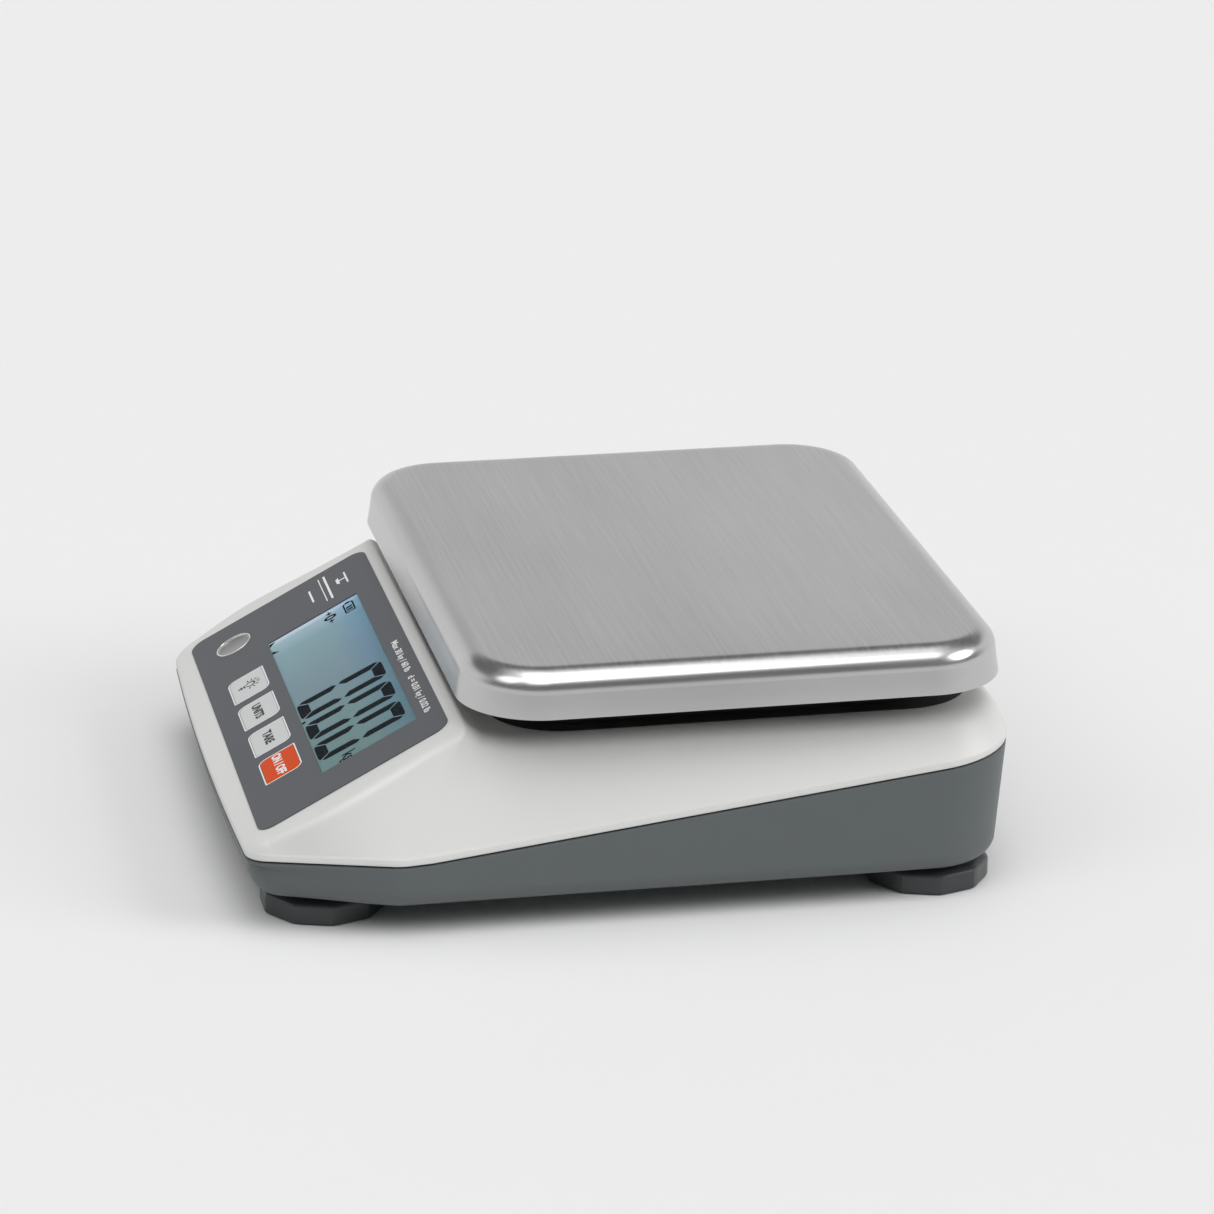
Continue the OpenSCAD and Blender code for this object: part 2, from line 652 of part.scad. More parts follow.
module knob(k) color("darkslategray") translate([foot_xy(k)[0], foot_xy(k)[1], knob_z]) difference() {
    union() {
        translate([0, 0, -knob_skirt])
            cylinder(r = knob_d / 2, h = knob_h - knob_edge + knob_skirt, $fn = knob_flats);
        translate([0, 0, knob_h - knob_edge]) linear_extrude(knob_edge, scale = 1 - 2 * knob_edge / knob_d)
            circle(knob_d / 2, $fn = knob_flats);
    }
    translate([0, 0, 3]) cylinder(r = thread_d / 2 - thread_gap, h = far);
    translate([0, 0, -1]) cylinder(r = 3.05, h = 3);
    translate([0, 0, -knob_skirt - 1]) cylinder(r = pad_r + 0.4, h = knob_skirt + 1);
}

module stud(k) color("silver") translate([foot_xy(k)[0], foot_xy(k)[1], knob_z + 3])
    cylinder(r = thread_d / 2 - thread_gap, h = stud_top - knob_z - 3);

module pad(k) color("black") translate([foot_xy(k)[0], foot_xy(k)[1], 0]) {
    cylinder(r = pad_r, h = pad_t);
    translate([0, 0, pad_t]) cylinder(r = 3, h = 1.9);
}

module rating_plate() color("silver") translate([40, -40, floor_z - 0.4]) linear_extrude(0.4)
    rounded(60, 35, 3);

// ---- assembly ----

weighing_pan();
pan_locators();
platform_spider();
pan_buffers();
load_cell();
gauge_seals();
cell_base_spacer();
cell_top_spacer();
cell_base_screws();
cell_top_screws();
overload_stops();
bottom_housing();
top_cover();
cover_screws();
panel_overlay();
display_window();
display_glass();
display_backlight();
display_frame();
key_light();
key_units();
key_tare();
key_power();
key_domes();
keypad_board();
main_board();
board_parts();
board_sockets();
board_screws();
buzzer();
level_housing();
level_fluid();
level_lens();
level_ring();
battery();
battery_bracket();
bracket_screws();
battery_door();
battery_leads();
power_socket();
socket_nut();
socket_leads();
cell_cable();
display_ribbon();
foot_inserts();
rating_plate();
knob(0);  // knob_fl
knob(1);  // knob_fr
knob(2);  // knob_rl
knob(3);  // knob_rr
stud(0);  // stud_fl
stud(1);  // stud_fr
stud(2);  // stud_rl
stud(3);  // stud_rr
pad(0);  // pad_fl
pad(1);  // pad_fr
pad(2);  // pad_rl
pad(3);  // pad_rr
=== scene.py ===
import math

import bmesh
import bpy
from mathutils import Matrix, Vector


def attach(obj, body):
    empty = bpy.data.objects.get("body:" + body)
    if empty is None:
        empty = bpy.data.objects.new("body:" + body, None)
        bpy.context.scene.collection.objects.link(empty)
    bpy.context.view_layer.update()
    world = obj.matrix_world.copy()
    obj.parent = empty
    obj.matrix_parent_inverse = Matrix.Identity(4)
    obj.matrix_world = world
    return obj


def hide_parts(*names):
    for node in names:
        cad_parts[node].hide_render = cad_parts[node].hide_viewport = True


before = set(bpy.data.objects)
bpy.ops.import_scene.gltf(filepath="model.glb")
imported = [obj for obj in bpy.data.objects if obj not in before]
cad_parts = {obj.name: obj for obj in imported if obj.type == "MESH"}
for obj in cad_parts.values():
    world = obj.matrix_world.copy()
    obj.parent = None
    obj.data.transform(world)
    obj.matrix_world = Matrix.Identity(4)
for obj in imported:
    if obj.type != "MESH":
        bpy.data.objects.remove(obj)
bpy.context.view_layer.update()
MM = 0.001

# ---------------------------------------------------------------- camera
# The camera looks at the scale's right side from a little above, with the display at the left, through
# a long lens.
AZIMUTH, ELEVATION, ROLL = (math.radians(degrees) for degrees in (77.854, 19.726, 0.702))
EYE = (1.62685, -0.33852, 0.67298)        # metres
scene = bpy.context.scene
back = Vector((math.sin(AZIMUTH) * math.cos(ELEVATION), -math.cos(AZIMUTH) * math.cos(ELEVATION),
               math.sin(ELEVATION)))
level = Vector((math.cos(AZIMUTH), math.sin(AZIMUTH), 0))
rise = back.cross(level)
right = math.cos(ROLL) * level + math.sin(ROLL) * rise
up = back.cross(right)
camera = bpy.data.objects.new("camera", bpy.data.cameras.new("camera"))
camera.matrix_world = Matrix.Translation(EYE) @ Matrix((right, up, back)).transposed().to_4x4()
camera.data.lens = 144.06
camera.data.sensor_width = 36
camera.data.clip_end = 50
scene.collection.objects.link(camera)
scene.camera = camera
scene.view_settings.view_transform = "Standard"

# ---------------------------------------------------------------- studio light
# A pale backdrop beyond the scale and dim surroundings on the near side, with four soft lamps: a key
# high behind the camera, one overhead, one from the front and one from the back.
NEAR_WALL = [(0, 0.2), (0.4, 0.16), (0.55, 0.3), (0.72, 0.7), (0.86, 0.85), (1, 0.9)]  # (height, brightness)
FAR_WALL = [(0, 0.84), (0.2, 0.84), (0.38, 0.82), (0.5, 0.18), (0.85, 0.18), (0.94, 0.85), (1, 0.9)]
LAMPS = (("key", 1.0, 44, 32, -4), ("overhead", 0.3, 30, 4, -12),      # strength, width, tilt and turn
         ("front", 0.35, 30, 48, -62), ("back", 1.15, 30, 60, 62))


def add(tree, kind, links=(), **values):
    """Adds a node; links are (input, output socket) pairs, values are attributes or input values."""
    node = tree.nodes.new("ShaderNode" + kind)
    for key, value in values.items():
        if hasattr(node, key):
            setattr(node, key, value)
        else:
            node.inputs[key.replace("_", " ")].default_value = value
    for target, source in links:
        tree.links.new(source, node.inputs[target])
    return node


def grey(value):
    return (value, value, value)


def ramp(tree, source, stops):
    """A colour ramp with stops of (position, colour)."""
    node = add(tree, "ValToRGB", [("Fac", source)])
    elements = node.color_ramp.elements
    while len(elements) < len(stops):
        elements.new(0.5)
    for element, (position, colour) in zip(elements, stops):
        element.position = position
        element.color = (*colour, 1)
    return node.outputs["Color"]


def spread(tree, source, low, high, to_low=0.0, to_high=1.0):
    """The source's range from low to high, spread over another range."""
    return add(tree, "MapRange", [("Value", source)], From_Min=low, From_Max=high, To_Min=to_low,
               To_Max=to_high).outputs["Result"]


world = bpy.data.worlds.new("studio")
world.use_nodes = True
scene.world = world
tree = world.node_tree
direction = add(tree, "SeparateXYZ", [("Vector", add(tree, "TexCoord").outputs["Generated"])])
near_side, far_side = (ramp(tree, direction.outputs["Z"], [(height, grey(bright)) for height, bright in wall])
                       for wall in (NEAR_WALL, FAR_WALL))
near = spread(tree, direction.outputs["X"], -0.2, 0.2)
walls = add(tree, "Mix", [("Factor", near), (6, far_side), (7, near_side)], data_type="RGBA")
tree.links.new(walls.outputs[2], tree.nodes["Background"].inputs["Color"])
for name, strength, width, tilt, turn in LAMPS:
    sun = bpy.data.lights.new(name, "SUN")
    sun.energy = strength
    sun.angle = math.radians(width)
    lamp = bpy.data.objects.new(name, sun)
    lamp.rotation_euler = (0, math.radians(tilt), math.radians(turn))
    scene.collection.objects.link(lamp)

# ---------------------------------------------------------------- floor
# One large sheet of pale matt paint under the feet. Its grain is the same node group that the moulded
# and cast pieces use, with its own values.
FLOOR_REACH = 6000


def node_group(name, inputs, outputs):
    """A shader node group with its sockets: the tree, its input node and its output node."""
    tree = bpy.data.node_groups.new(name, "ShaderNodeTree")
    for label, kind, value in inputs:
        tree.interface.new_socket(label, in_out="INPUT", socket_type=kind).default_value = value
    for label, kind in outputs:
        tree.interface.new_socket(label, in_out="OUTPUT", socket_type=kind)
    return tree, tree.nodes.new("NodeGroupInput"), tree.nodes.new("NodeGroupOutput")


def maths(tree, operation, first, second):
    """A Math node on sockets or plain numbers."""
    node = add(tree, "Math", operation=operation)
    for target, value in zip(node.inputs, (first, second)):
        if isinstance(value, float):
            target.default_value = value
        else:
            tree.links.new(value, target)
    return node.outputs[0]


def noise(tree, place, scale, detail=2.0):
    return add(tree, "TexNoise", [("Vector", place)], Scale=scale, Detail=detail).outputs["Fac"]


def object_place(tree):
    return add(tree, "TexCoord").outputs["Object"]


# Fine moulded or cast grain: a bump and a slow change of colour and gloss, sized in the object's metres
grain_tree, grain_in, grain_out = node_group(
    "fine_grain",
    [("Colour", "NodeSocketColor", (0.8, 0.8, 0.8, 1)), ("Gloss", "NodeSocketFloat", 0.5),
     ("Scale", "NodeSocketFloat", 1500), ("Depth", "NodeSocketFloat", 0.1),
     ("Variation", "NodeSocketFloat", 0.05)],
    [("Colour", "NodeSocketColor"), ("Roughness", "NodeSocketFloat"), ("Normal", "NodeSocketVector")])
place = object_place(grain_tree)
fine = add(grain_tree, "TexNoise", [("Vector", place), ("Scale", grain_in.outputs["Scale"])], Detail=3.0)
fine = fine.outputs["Fac"]
slow = noise(grain_tree, place, 22.0, 4.0)
swing = maths(grain_tree, "SUBTRACT", maths(grain_tree, "ADD", fine, slow), 1.0)
amount = maths(grain_tree, "MULTIPLY", swing, grain_in.outputs["Variation"])
lift = maths(grain_tree, "ADD", amount, 1.0)
tint = add(grain_tree, "VectorMath", [(0, grain_in.outputs["Colour"]), (1, lift)], operation="MULTIPLY")
gloss = maths(grain_tree, "ADD", grain_in.outputs["Gloss"], amount)
bump = add(grain_tree, "Bump", [("Height", fine), ("Strength", grain_in.outputs["Depth"])], Distance=0.0001)
for label, source in (("Colour", tint.outputs["Vector"]), ("Roughness", gloss),
                      ("Normal", bump.outputs["Normal"])):
    grain_tree.links.new(source, grain_out.inputs[label])


def principled(name, colour, roughness, **sockets):
    """A new material with its Principled BSDF; constant values go straight on the shader's sockets."""
    material = bpy.data.materials.new(name)
    material.use_nodes = True
    shader = material.node_tree.nodes["Principled BSDF"]
    shader.inputs["Base Color"].default_value = (*colour, 1)
    shader.inputs["Roughness"].default_value = roughness
    for label, value in sockets.items():
        shader.inputs[label.replace("_", " ")].default_value = value
    return material, material.node_tree, shader


def grained(name, colour, roughness, scale, depth, variation=0.05, **sockets):
    """A material with fine grain; its colour and gloss vary slightly."""
    material, tree, shader = principled(name, colour, roughness, **sockets)
    group = tree.nodes.new("ShaderNodeGroup")
    group.node_tree = grain_tree
    for label, value in (("Colour", (*colour, 1)), ("Gloss", roughness), ("Scale", scale), ("Depth", depth),
                         ("Variation", variation)):
        group.inputs[label].default_value = value
    for output, target in (("Colour", "Base Color"), ("Roughness", "Roughness"), ("Normal", "Normal")):
        tree.links.new(group.outputs[output], shader.inputs[target])
    return material


def finish_mesh(item, material, smooth=35):
    """One material, and smooth shading except across edges sharper than the angle."""
    if item.name not in scene.collection.objects:
        scene.collection.objects.link(item)
    item.data.materials.clear()
    item.data.materials.append(material)
    item.data.shade_smooth()
    item.data.set_sharp_from_angle(angle=math.radians(smooth))
    return item


def make(name, verts, faces, material, smooth=35):
    """A mesh from points in millimetres."""
    mesh = bpy.data.meshes.new(name)
    mesh.from_pydata([tuple(MM * c for c in v) for v in verts], [], faces)
    return finish_mesh(bpy.data.objects.new(name, mesh), material, smooth)


floor_paint = grained("floor_paint", grey(0.755), 0.85, scale=60, depth=0.02, variation=0.004,
                      Specular_IOR_Level=0.1)
corners = [(x * FLOOR_REACH, y * FLOOR_REACH, 0) for x, y in ((-1, -1), (1, -1), (1, 1), (-1, 1))]
floor = make("floor", corners, [(0, 1, 2, 3)], floor_paint)

# ---------------------------------------------------------------- feet
# Four screw feet: a black rubber pad that stays still, and a moulded ten-sided knob in dark grey
# plastic on an M8 zinc-plated stud, which turns in a brass insert in the housing's floor.
FEET = {"fl": (-74, -104.7), "fr": (74, -104.7), "rl": (-85.8, 110.1), "rr": (85.8, 110.1)}
PAD = [(16.2, 0), (16.8, 0.2), (17, 0.6), (16.9, 1.2), (16.5, 1.5), (3, 1.5), (3, 3.3)]     # (radius, height)
KNOB_RECESS = [(15, 1.56), (17.4, 1.56), (17.4, 0.6), (17.7, 0.4)]
KNOB_RIM = [(22.1, 0.4), (22.6, 0.55), (22.75, 1.0), (22.75, 6.9), (22.45, 7.6), (21.8, 8.1), (20.4, 8.7),
            (18.8, 9.0), (16, 9.05)]
KNOB_TOP = [(11, 9.05), (10.4, 8.6), (7.6, 8.5), (7.2, 9.05), (4.1, 9.05), (4.0, 8.7)]
KNOB_SIDES = 10
STUD_FROM, STUD_TO = 4.6, 24
STUD_R, THREAD_DEPTH, PITCH = 3.95, 0.62, 1.25
PITCH_STEPS, STUD_STEPS = 8, 24
rubber = grained("rubber", grey(0.02), 0.75, scale=900, depth=0.3)
knob_plastic = grained("knob_plastic", (0.036, 0.04, 0.042), 0.3, scale=1800, depth=0.05, variation=0.08)
zinc = grained("zinc", (0.62, 0.63, 0.66), 0.32, scale=700, depth=0.05, variation=0.12, Metallic=1.0)
brass = grained("brass", (0.75, 0.52, 0.22), 0.3, scale=700, depth=0.05, variation=0.1, Metallic=1.0)


def paint(material, *nodes):
    """Gives CAD nodes, whose shape stays, their material."""
    for node in nodes:
        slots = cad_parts[node].data.materials
        slots.clear()
        slots.append(material)


def place_on(item, body, *nodes, slot):
    """The piece rides on a body and stands for the CAD nodes named."""
    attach(item, body)
    if nodes:
        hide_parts(*nodes)


def loft(rings, start="open", end="open"):
    """Quads between rings of equal length. An end is closed by one face ("fan") or, where the ring is
    the same left and right, by strips from side to side ("strips")."""
    n = len(rings[0])
    verts = [p for ring in rings for p in ring]
    faces = [(k * n + i, k * n + (i + 1) % n, (k + 1) * n + (i + 1) % n, (k + 1) * n + i)
             for k in range(len(rings) - 1) for i in range(n)]
    for closed, base, flip in ((start, 0, True), (end, (len(rings) - 1) * n, False)):
        strips = []
        if closed == "strips":
            half = [verts[base + i][1] for i in range(n // 2 + 1)]
            front = max(i for i in range(n // 2) if abs(half[i] - half[0]) < 1e-6)
            rear = min(i for i in range(n // 2 + 1) if abs(half[i] - half[-1]) < 1e-6)
            strips = [[*range(n - front - 1, n), *range(front + 2)], [*range(rear - 1, n - rear + 2)]]
            strips += [[i, i + 1, n - i - 1, n - i] for i in range(front + 1, rear - 1)]
        elif closed == "fan":
            strips = [[*range(n)]]
        faces += [tuple(base + i for i in (reversed(strip) if flip else strip)) for strip in strips]
    return verts, faces


def circle(x, y, z, r, n):
    return [(x + r * math.cos(2 * math.pi * i / n), y + r * math.sin(2 * math.pi * i / n), z) for i in range(n)]


def turned(name, profile, x, y, material, n=48, ends="fan"):
    """A body of revolution about a vertical axis, from (radius, height) pairs going up."""
    return make(name, *loft([circle(x, y, z, r, n) for r, z in profile], ends, ends), material)


def knob_ring(x, y, z, r, per_side=8):
    """A ten-sided ring with its corners taken off."""
    points = []
    half_side = math.pi / KNOB_SIDES
    for i in range(KNOB_SIDES * per_side):
        a = 2 * math.pi * i / (KNOB_SIDES * per_side)
        off = (a + half_side) % (2 * half_side) - half_side
        reach = min(r * math.cos(half_side) / math.cos(half_side - abs(off)), r * 0.988)
        points.append((x + reach * math.cos(a), y + reach * math.sin(a), z))
    return points


def thread_ring(x, y, z):
    """A ring of the stud's thread, whose flank runs in and out once a turn."""
    points = []
    for i in range(STUD_STEPS):
        phase = (z / PITCH - i / STUD_STEPS) % 1
        r = STUD_R - THREAD_DEPTH * abs(2 * phase - 1)
        a = 2 * math.pi * i / STUD_STEPS
        points.append((x + r * math.cos(a), y + r * math.sin(a), min(z, STUD_TO)))
    return points


for foot, (x, y) in FEET.items():
    pad = turned("pad_" + foot, PAD, x, y, rubber)
    place_on(pad, "foot_pad_" + foot, "pad_" + foot, slot="rubber")
    rings = [circle(x, y, z, r, 80) for r, z in KNOB_RECESS]
    rings += [knob_ring(x, y, z, r) for r, z in KNOB_RIM]
    rings += [circle(x, y, z, r, 80) for r, z in KNOB_TOP]
    knob = make("knob_" + foot, *loft(rings, "fan", "fan"), knob_plastic, 16)
    place_on(knob, "foot_knob_" + foot, "knob_" + foot, slot="foot_plastic")
    rings = [thread_ring(x, y, STUD_FROM + k * PITCH / PITCH_STEPS) for k in range(16 * PITCH_STEPS)]
    stud = make("stud_" + foot, *loft(rings, "fan", "fan"), zinc, 60)
    place_on(stud, "foot_knob_" + foot, "stud_" + foot, slot="fastener")
paint(brass, "foot_inserts")

# ---------------------------------------------------------------- bottom housing
# Injection-moulded tub in dark grey ABS with a spark-eroded texture, drawn in towards its
# underside; it carries the load cell, the feet inserts and the rails of the battery door.
# Corner circles (x, y, radius) of an outline: front, bend behind the panel, back.
SEAM = [(93.2, -126.0, 9.0), (95.0, -81.6, 20.0), (87.0, 109.0, 28.0)]
UNDER = [(88.0, -119.8, 14.0), (94.4, -81.0, 20.0), (87.5, 107.0, 27.0)]
# Steps round the outline: front, corner, side, bend, side, corner, back
STEPS = (10, 8, 14, 9, 22, 12, 10)
BOW = 2.0                                                         # the front face is slightly bowed
ROUND_IN = [(-130, 10.0), (-85, 6.5), (90, 5.5), (125, 5.5)]      # its lower edge's rounding, along y
ROUND_UP = [(-130, 13.0), (-85, 7.0), (90, 6.0), (125, 6.5)]
FLOOR_Z = 11.6
HOUSING_WALL = 2.3
COVER_SCREWS = [(x, y) for x in (-88, 88) for y in (-45, 82)]
BOARD_POSTS = [(x, y) for x in (-28, 28) for y in (14.5, 55.5)]
CELL_SCREW_Y = (73, 93)
INLET = (0.055, 0.141, 0.034)                                     # metres
DOOR_Y = 23.5
COVER_SCREW_BOSS = [(5.4, 11.7), (5.4, 13), (5, 39.6), (4.6, 40), (1.7, 40), (1.7, 30), (3.3, 30), (3.3, 11.7),
                    (5.4, 11.7)]                                  # (radius, height)
BOARD_BOSS = [(5.4, 13), (5, 39.6), (4.6, 40), (2.9, 40)]
FOOT_BOSS = [(8.2, 11.7), (8.2, 25.5), (7.8, 26), (5.5, 26), (5.5, 11.7), (8.2, 11.7)]
housing_plastic = grained("housing_plastic", (0.09, 0.103, 0.106), 0.46, scale=1600, depth=0.1)


def seam_z(y):
    return 28 + max(0, y + 77) * 26 / 214


def outline(corners, inset=0.0):
    """Right half of a rounded outline as (x, y, outward angle), from the front middle to the back."""
    turns = [-math.pi / 2]
    for (x0, y0, r0), (x1, y1, r1) in zip(corners, corners[1:]):
        run = math.hypot(x1 - x0, y1 - y0)
        turns.append(math.atan2(y1 - y0, x1 - x0) - math.acos((r0 - r1) / run))
    turns.append(math.pi / 2)
    points = []
    for k, (x, y, r) in enumerate(corners):
        arc = []
        for i in range(STEPS[2 * k + 1] + 1):
            a = turns[k] + (turns[k + 1] - turns[k]) * i / STEPS[2 * k + 1]
            arc.append((x + (r - inset) * math.cos(a), y + (r - inset) * math.sin(a), a))
        x0, y0 = points[-1][:2] if points else (0, arc[0][1])
        x1, y1 = arc[0][:2]
        parts = [i / STEPS[2 * k] for i in range(1 if k else 0, STEPS[2 * k])]
        points += [(x0 + (x1 - x0) * t, y0 + (y1 - y0) * t, turns[k]) for t in parts] + arc
    last_x, last_y = points[-1][:2]
    points += [(last_x * (1 - i / STEPS[6]), last_y, math.pi / 2) for i in range(1, STEPS[6] + 1)]
    edge = corners[0][0]
    return [(x, y - BOW * max(0, 1 - (x / edge) ** 2) if y < -100 else y, a) for x, y, a in points]


def blend_at(pairs, y):
    """Smooth interpolation of a value along y."""
    if y <= pairs[0][0]:
        return pairs[0][1]
    for (y0, v0), (y1, v1) in zip(pairs, pairs[1:]):
        if y <= y1:
            t = (y - y0) / (y1 - y0)
            return v0 + (v1 - v0) * t * t * (3 - 2 * t)
    return pairs[-1][1]


def mirrored(half):
    """A whole ring from its right half, which starts and ends on the middle line."""
    return half + [(-x, y, z) for x, y, z in reversed(half[1:-1])]


def seam_ring(inset, height):
    """A ring along the seam, from its outline and its slope."""
    return mirrored([(x, y, seam_z(y) + height) for x, y, a in outline(SEAM, inset)])


def under_ring(part):
    """The rounding between floor and wall; part runs from 0 at the floor to 1 at the wall."""
    turn = math.radians(90 * part)
    half = []
    for x, y, a in outline(UNDER):
        inset = blend_at(ROUND_IN, y) * (1 - math.sin(turn))
        lift = blend_at(ROUND_UP, y) * (1 - math.cos(turn))
        half.append((x - inset * math.cos(a), y - inset * math.sin(a), FLOOR_Z + lift))
    return mirrored(half)


def between(low, high, t):
    return [tuple(a + (b - a) * t for a, b in zip(p, q)) for p, q in zip(low, high)]


def bake(item):
    """The item's mesh with its modifiers applied."""
    bpy.context.view_layer.update()
    mesh = bpy.data.meshes.new_from_object(item.evaluated_get(bpy.context.evaluated_depsgraph_get()))
    item.modifiers.clear()
    item.data = mesh


def thicken(item, thickness):
    """Gives a shell its wall, inwards."""
    wall = item.modifiers.new("wall", "SOLIDIFY")
    wall.thickness = thickness * MM
    wall.offset = -1
    bake(item)


def cut(item, *cutters):
    """Cuts the cutters out of the item and removes them."""
    for cutter in cutters:
        step = item.modifiers.new("cut", "BOOLEAN")
        step.operation = "DIFFERENCE"
        step.solver = "EXACT"
        step.object = cutter
    bake(item)
    for cutter in cutters:
        bpy.data.objects.remove(cutter)


def join(first, *others):
    """One object out of several; the first one keeps its name."""
    build = bmesh.new()
    for item in (first, *others):
        build.from_mesh(item.data)
    build.to_mesh(first.data)
    build.free()
    for item in others:
        bpy.data.objects.remove(item)


def block(x0, y0, z0, x1, y1, z1):
    """A plain bar, as a rib or a cutter."""
    rings = [[(x0, y0, z), (x1, y0, z), (x1, y1, z), (x0, y1, z)] for z in (z0, z1)]
    return make("bar", *loft(rings, "fan", "fan"), housing_plastic)


def drill(x, y, r, n=48):
    """A cutter for a round hole through the housing's floor."""
    return turned("drill", [(r, 5), (r, 20)], x, y, housing_plastic, n)


top_edge = seam_ring(0.1, -1.1)
bottom_edge = under_ring(1)
rings = [under_ring(k / 7) for k in range(8)]
rings += [between(bottom_edge, top_edge, t) for t in (0.05, 0.25, 0.5, 0.75, 0.95, 1)]
rings += [seam_ring(0.25, -0.65), seam_ring(0.7, -0.35), seam_ring(1.2, -0.35)]
housing = make("bottom_housing", *loft(rings, "strips"), housing_plastic)
thicken(housing, HOUSING_WALL)

cutters = [drill(x, y, 8.0) for x, y in FEET.values()] + [drill(x, y, 3.4, 24) for x, y in COVER_SCREWS]
cutters += [drill(0, y, 5.2, 32) for y in CELL_SCREW_Y]
cutters += [block(-101, -26, 5, -48, 73, 20)]
inlet_hole = turned("drill", [(8.0, -20), (8.0, 20)], 0, 0, housing_plastic, 40)
inlet_hole.data.transform(Matrix.Translation(INLET) @ Matrix.Rotation(math.radians(90), 4, "X"))
cut(housing, *cutters, inlet_hole)

tongue = [seam_ring(inset, z) for inset, z in ((2.6, -2), (2.6, 3), (3.6, 3), (3.6, -2), (2.6, -2))]
inner_parts = [make("tongue", *loft(tongue), housing_plastic)]
inner_parts += [turned("boss", FOOT_BOSS, x, y, housing_plastic, ends="open") for x, y in FEET.values()]
inner_parts += [turned("boss", COVER_SCREW_BOSS, x, y, housing_plastic, 32, "open") for x, y in COVER_SCREWS]
inner_parts += [turned("boss", BOARD_BOSS, x, y, housing_plastic, 32) for x, y in BOARD_POSTS]
for side in (-1, 1):
    for reach, top in ((52.1, 12), (50.1, 9.8)):              # the rail's upright and the lip under the door
        y0, y1 = sorted((DOOR_Y + side * reach, DOOR_Y + side * 54.1))
        inner_parts.append(block(-104.5, y0, 8.7, -44.5, y1, top))
inner_parts.append(block(-18, 65, 13, 18, 103, 18))    # the load cell's seat
for k in range(7):                                            # ribs, shorter between the front feet
    y = -112 + k * 12
    half = 78 if abs(y + 104.7) > 12 else 60
    inner_parts.append(block(-half, y, 13.2, half, y + 1.2, 17.5))
join(housing, *inner_parts)
finish_mesh(housing, housing_plastic)
place_on(housing, "root", "bottom_housing", slot="housing_plastic")

# ---------------------------------------------------------------- battery and its door
# Sealed lead battery in a folded steel bracket, with red leads, over a door in the housing's plastic
# that slides along the floor.
battery_case = grained("battery_case", (0.03, 0.032, 0.036), 0.42, scale=900, depth=0.15)
bracket_steel = grained("bracket_steel", grey(0.6), 0.38, scale=500, depth=0.06, variation=0.15, Metallic=1.0)
lead_red = grained("lead_red", (0.5, 0.02, 0.015), 0.4, scale=400, depth=0.02)
paint(battery_case, "battery")
paint(bracket_steel, "battery_bracket")
paint(lead_red, "battery_leads")
paint(zinc, "bracket_screws")
paint(housing_plastic, "battery_door")

# ---------------------------------------------------------------- rating plate
# Thin satin aluminium plate stuck under the floor, left plain.
plate_metal = grained("plate_metal", (0.72, 0.73, 0.74), 0.36, scale=1200, depth=0.04, variation=0.08,
                      Metallic=1.0)
paint(plate_metal, "rating_plate")

# ---------------------------------------------------------------- power inlet
# Black barrel socket at the back, held by a zinc-plated nut inside, with black leads to the board.
black_plastic = grained("black_plastic", grey(0.018), 0.38, scale=1500, depth=0.08)
lead_black = grained("lead_black", grey(0.02), 0.4, scale=400, depth=0.02)
paint(black_plastic, "power_socket")
paint(zinc, "socket_nut")
paint(lead_black, "socket_leads")

# ---------------------------------------------------------------- load cell and platform
# Milled aluminium single-point cell with white potting over its gauges, between two spacers, and
# the cast aluminium spider whose four posts carry the pan on rubber buffers.
milled = grained("milled_aluminium", (0.75, 0.76, 0.78), 0.34, scale=900, depth=0.05, variation=0.1,
                 Metallic=1.0)
cast = grained("cast_aluminium", (0.55, 0.56, 0.57), 0.55, scale=700, depth=0.5, variation=0.15, Metallic=1.0)
potting = grained("potting", (0.8, 0.8, 0.76), 0.35, scale=200, depth=0.1)
cable_grey = grained("cable_grey", grey(0.25), 0.5, scale=400, depth=0.03)
paint(milled, "load_cell", "cell_base_spacer", "cell_top_spacer")
paint(cast, "platform_spider")
paint(potting, "gauge_seals")
paint(cable_grey, "cell_cable")
paint(rubber, "pan_buffers")
paint(zinc, "cell_base_screws", "cell_top_screws", "overload_stops")

# ---------------------------------------------------------------- boards behind the panel
# Green solder-masked boards with black components, ivory sockets and steel snap domes; the display's
# black frame, pale backlight and grey ribbon sit between them and the cover.
circuit_board = grained("circuit_board", (0.02, 0.14, 0.06), 0.3, scale=350, depth=0.06, variation=0.25)
ivory = grained("ivory", (0.75, 0.72, 0.6), 0.45, scale=700, depth=0.08)
dome_steel = grained("dome_steel", grey(0.7), 0.25, scale=600, depth=0.03, variation=0.1, Metallic=1.0)
backlight = grained("backlight", (0.55, 0.72, 0.75), 0.4, scale=300, depth=0.02)
paint(circuit_board, "main_board", "keypad_board")
paint(black_plastic, "board_parts", "buzzer", "display_frame")
paint(ivory, "board_sockets")
paint(dome_steel, "key_domes")
paint(backlight, "display_backlight")
paint(cable_grey, "display_ribbon")
paint(zinc, "board_screws")

# ---------------------------------------------------------------- top cover
# Light grey ABS shell, fine satin texture: the inclined display panel, rounded shoulders that run
# down to an upright lip at the seam, and a flat top under the pan. Four screws hold it from below.
SLOPE = math.radians(28.3)
PANEL_FOOT = (-129.6, 35.7)                 # y and z where the panel's plane starts
TOP_Z = 68.0
LIP = 3.2
COVER_WALL = 2.2
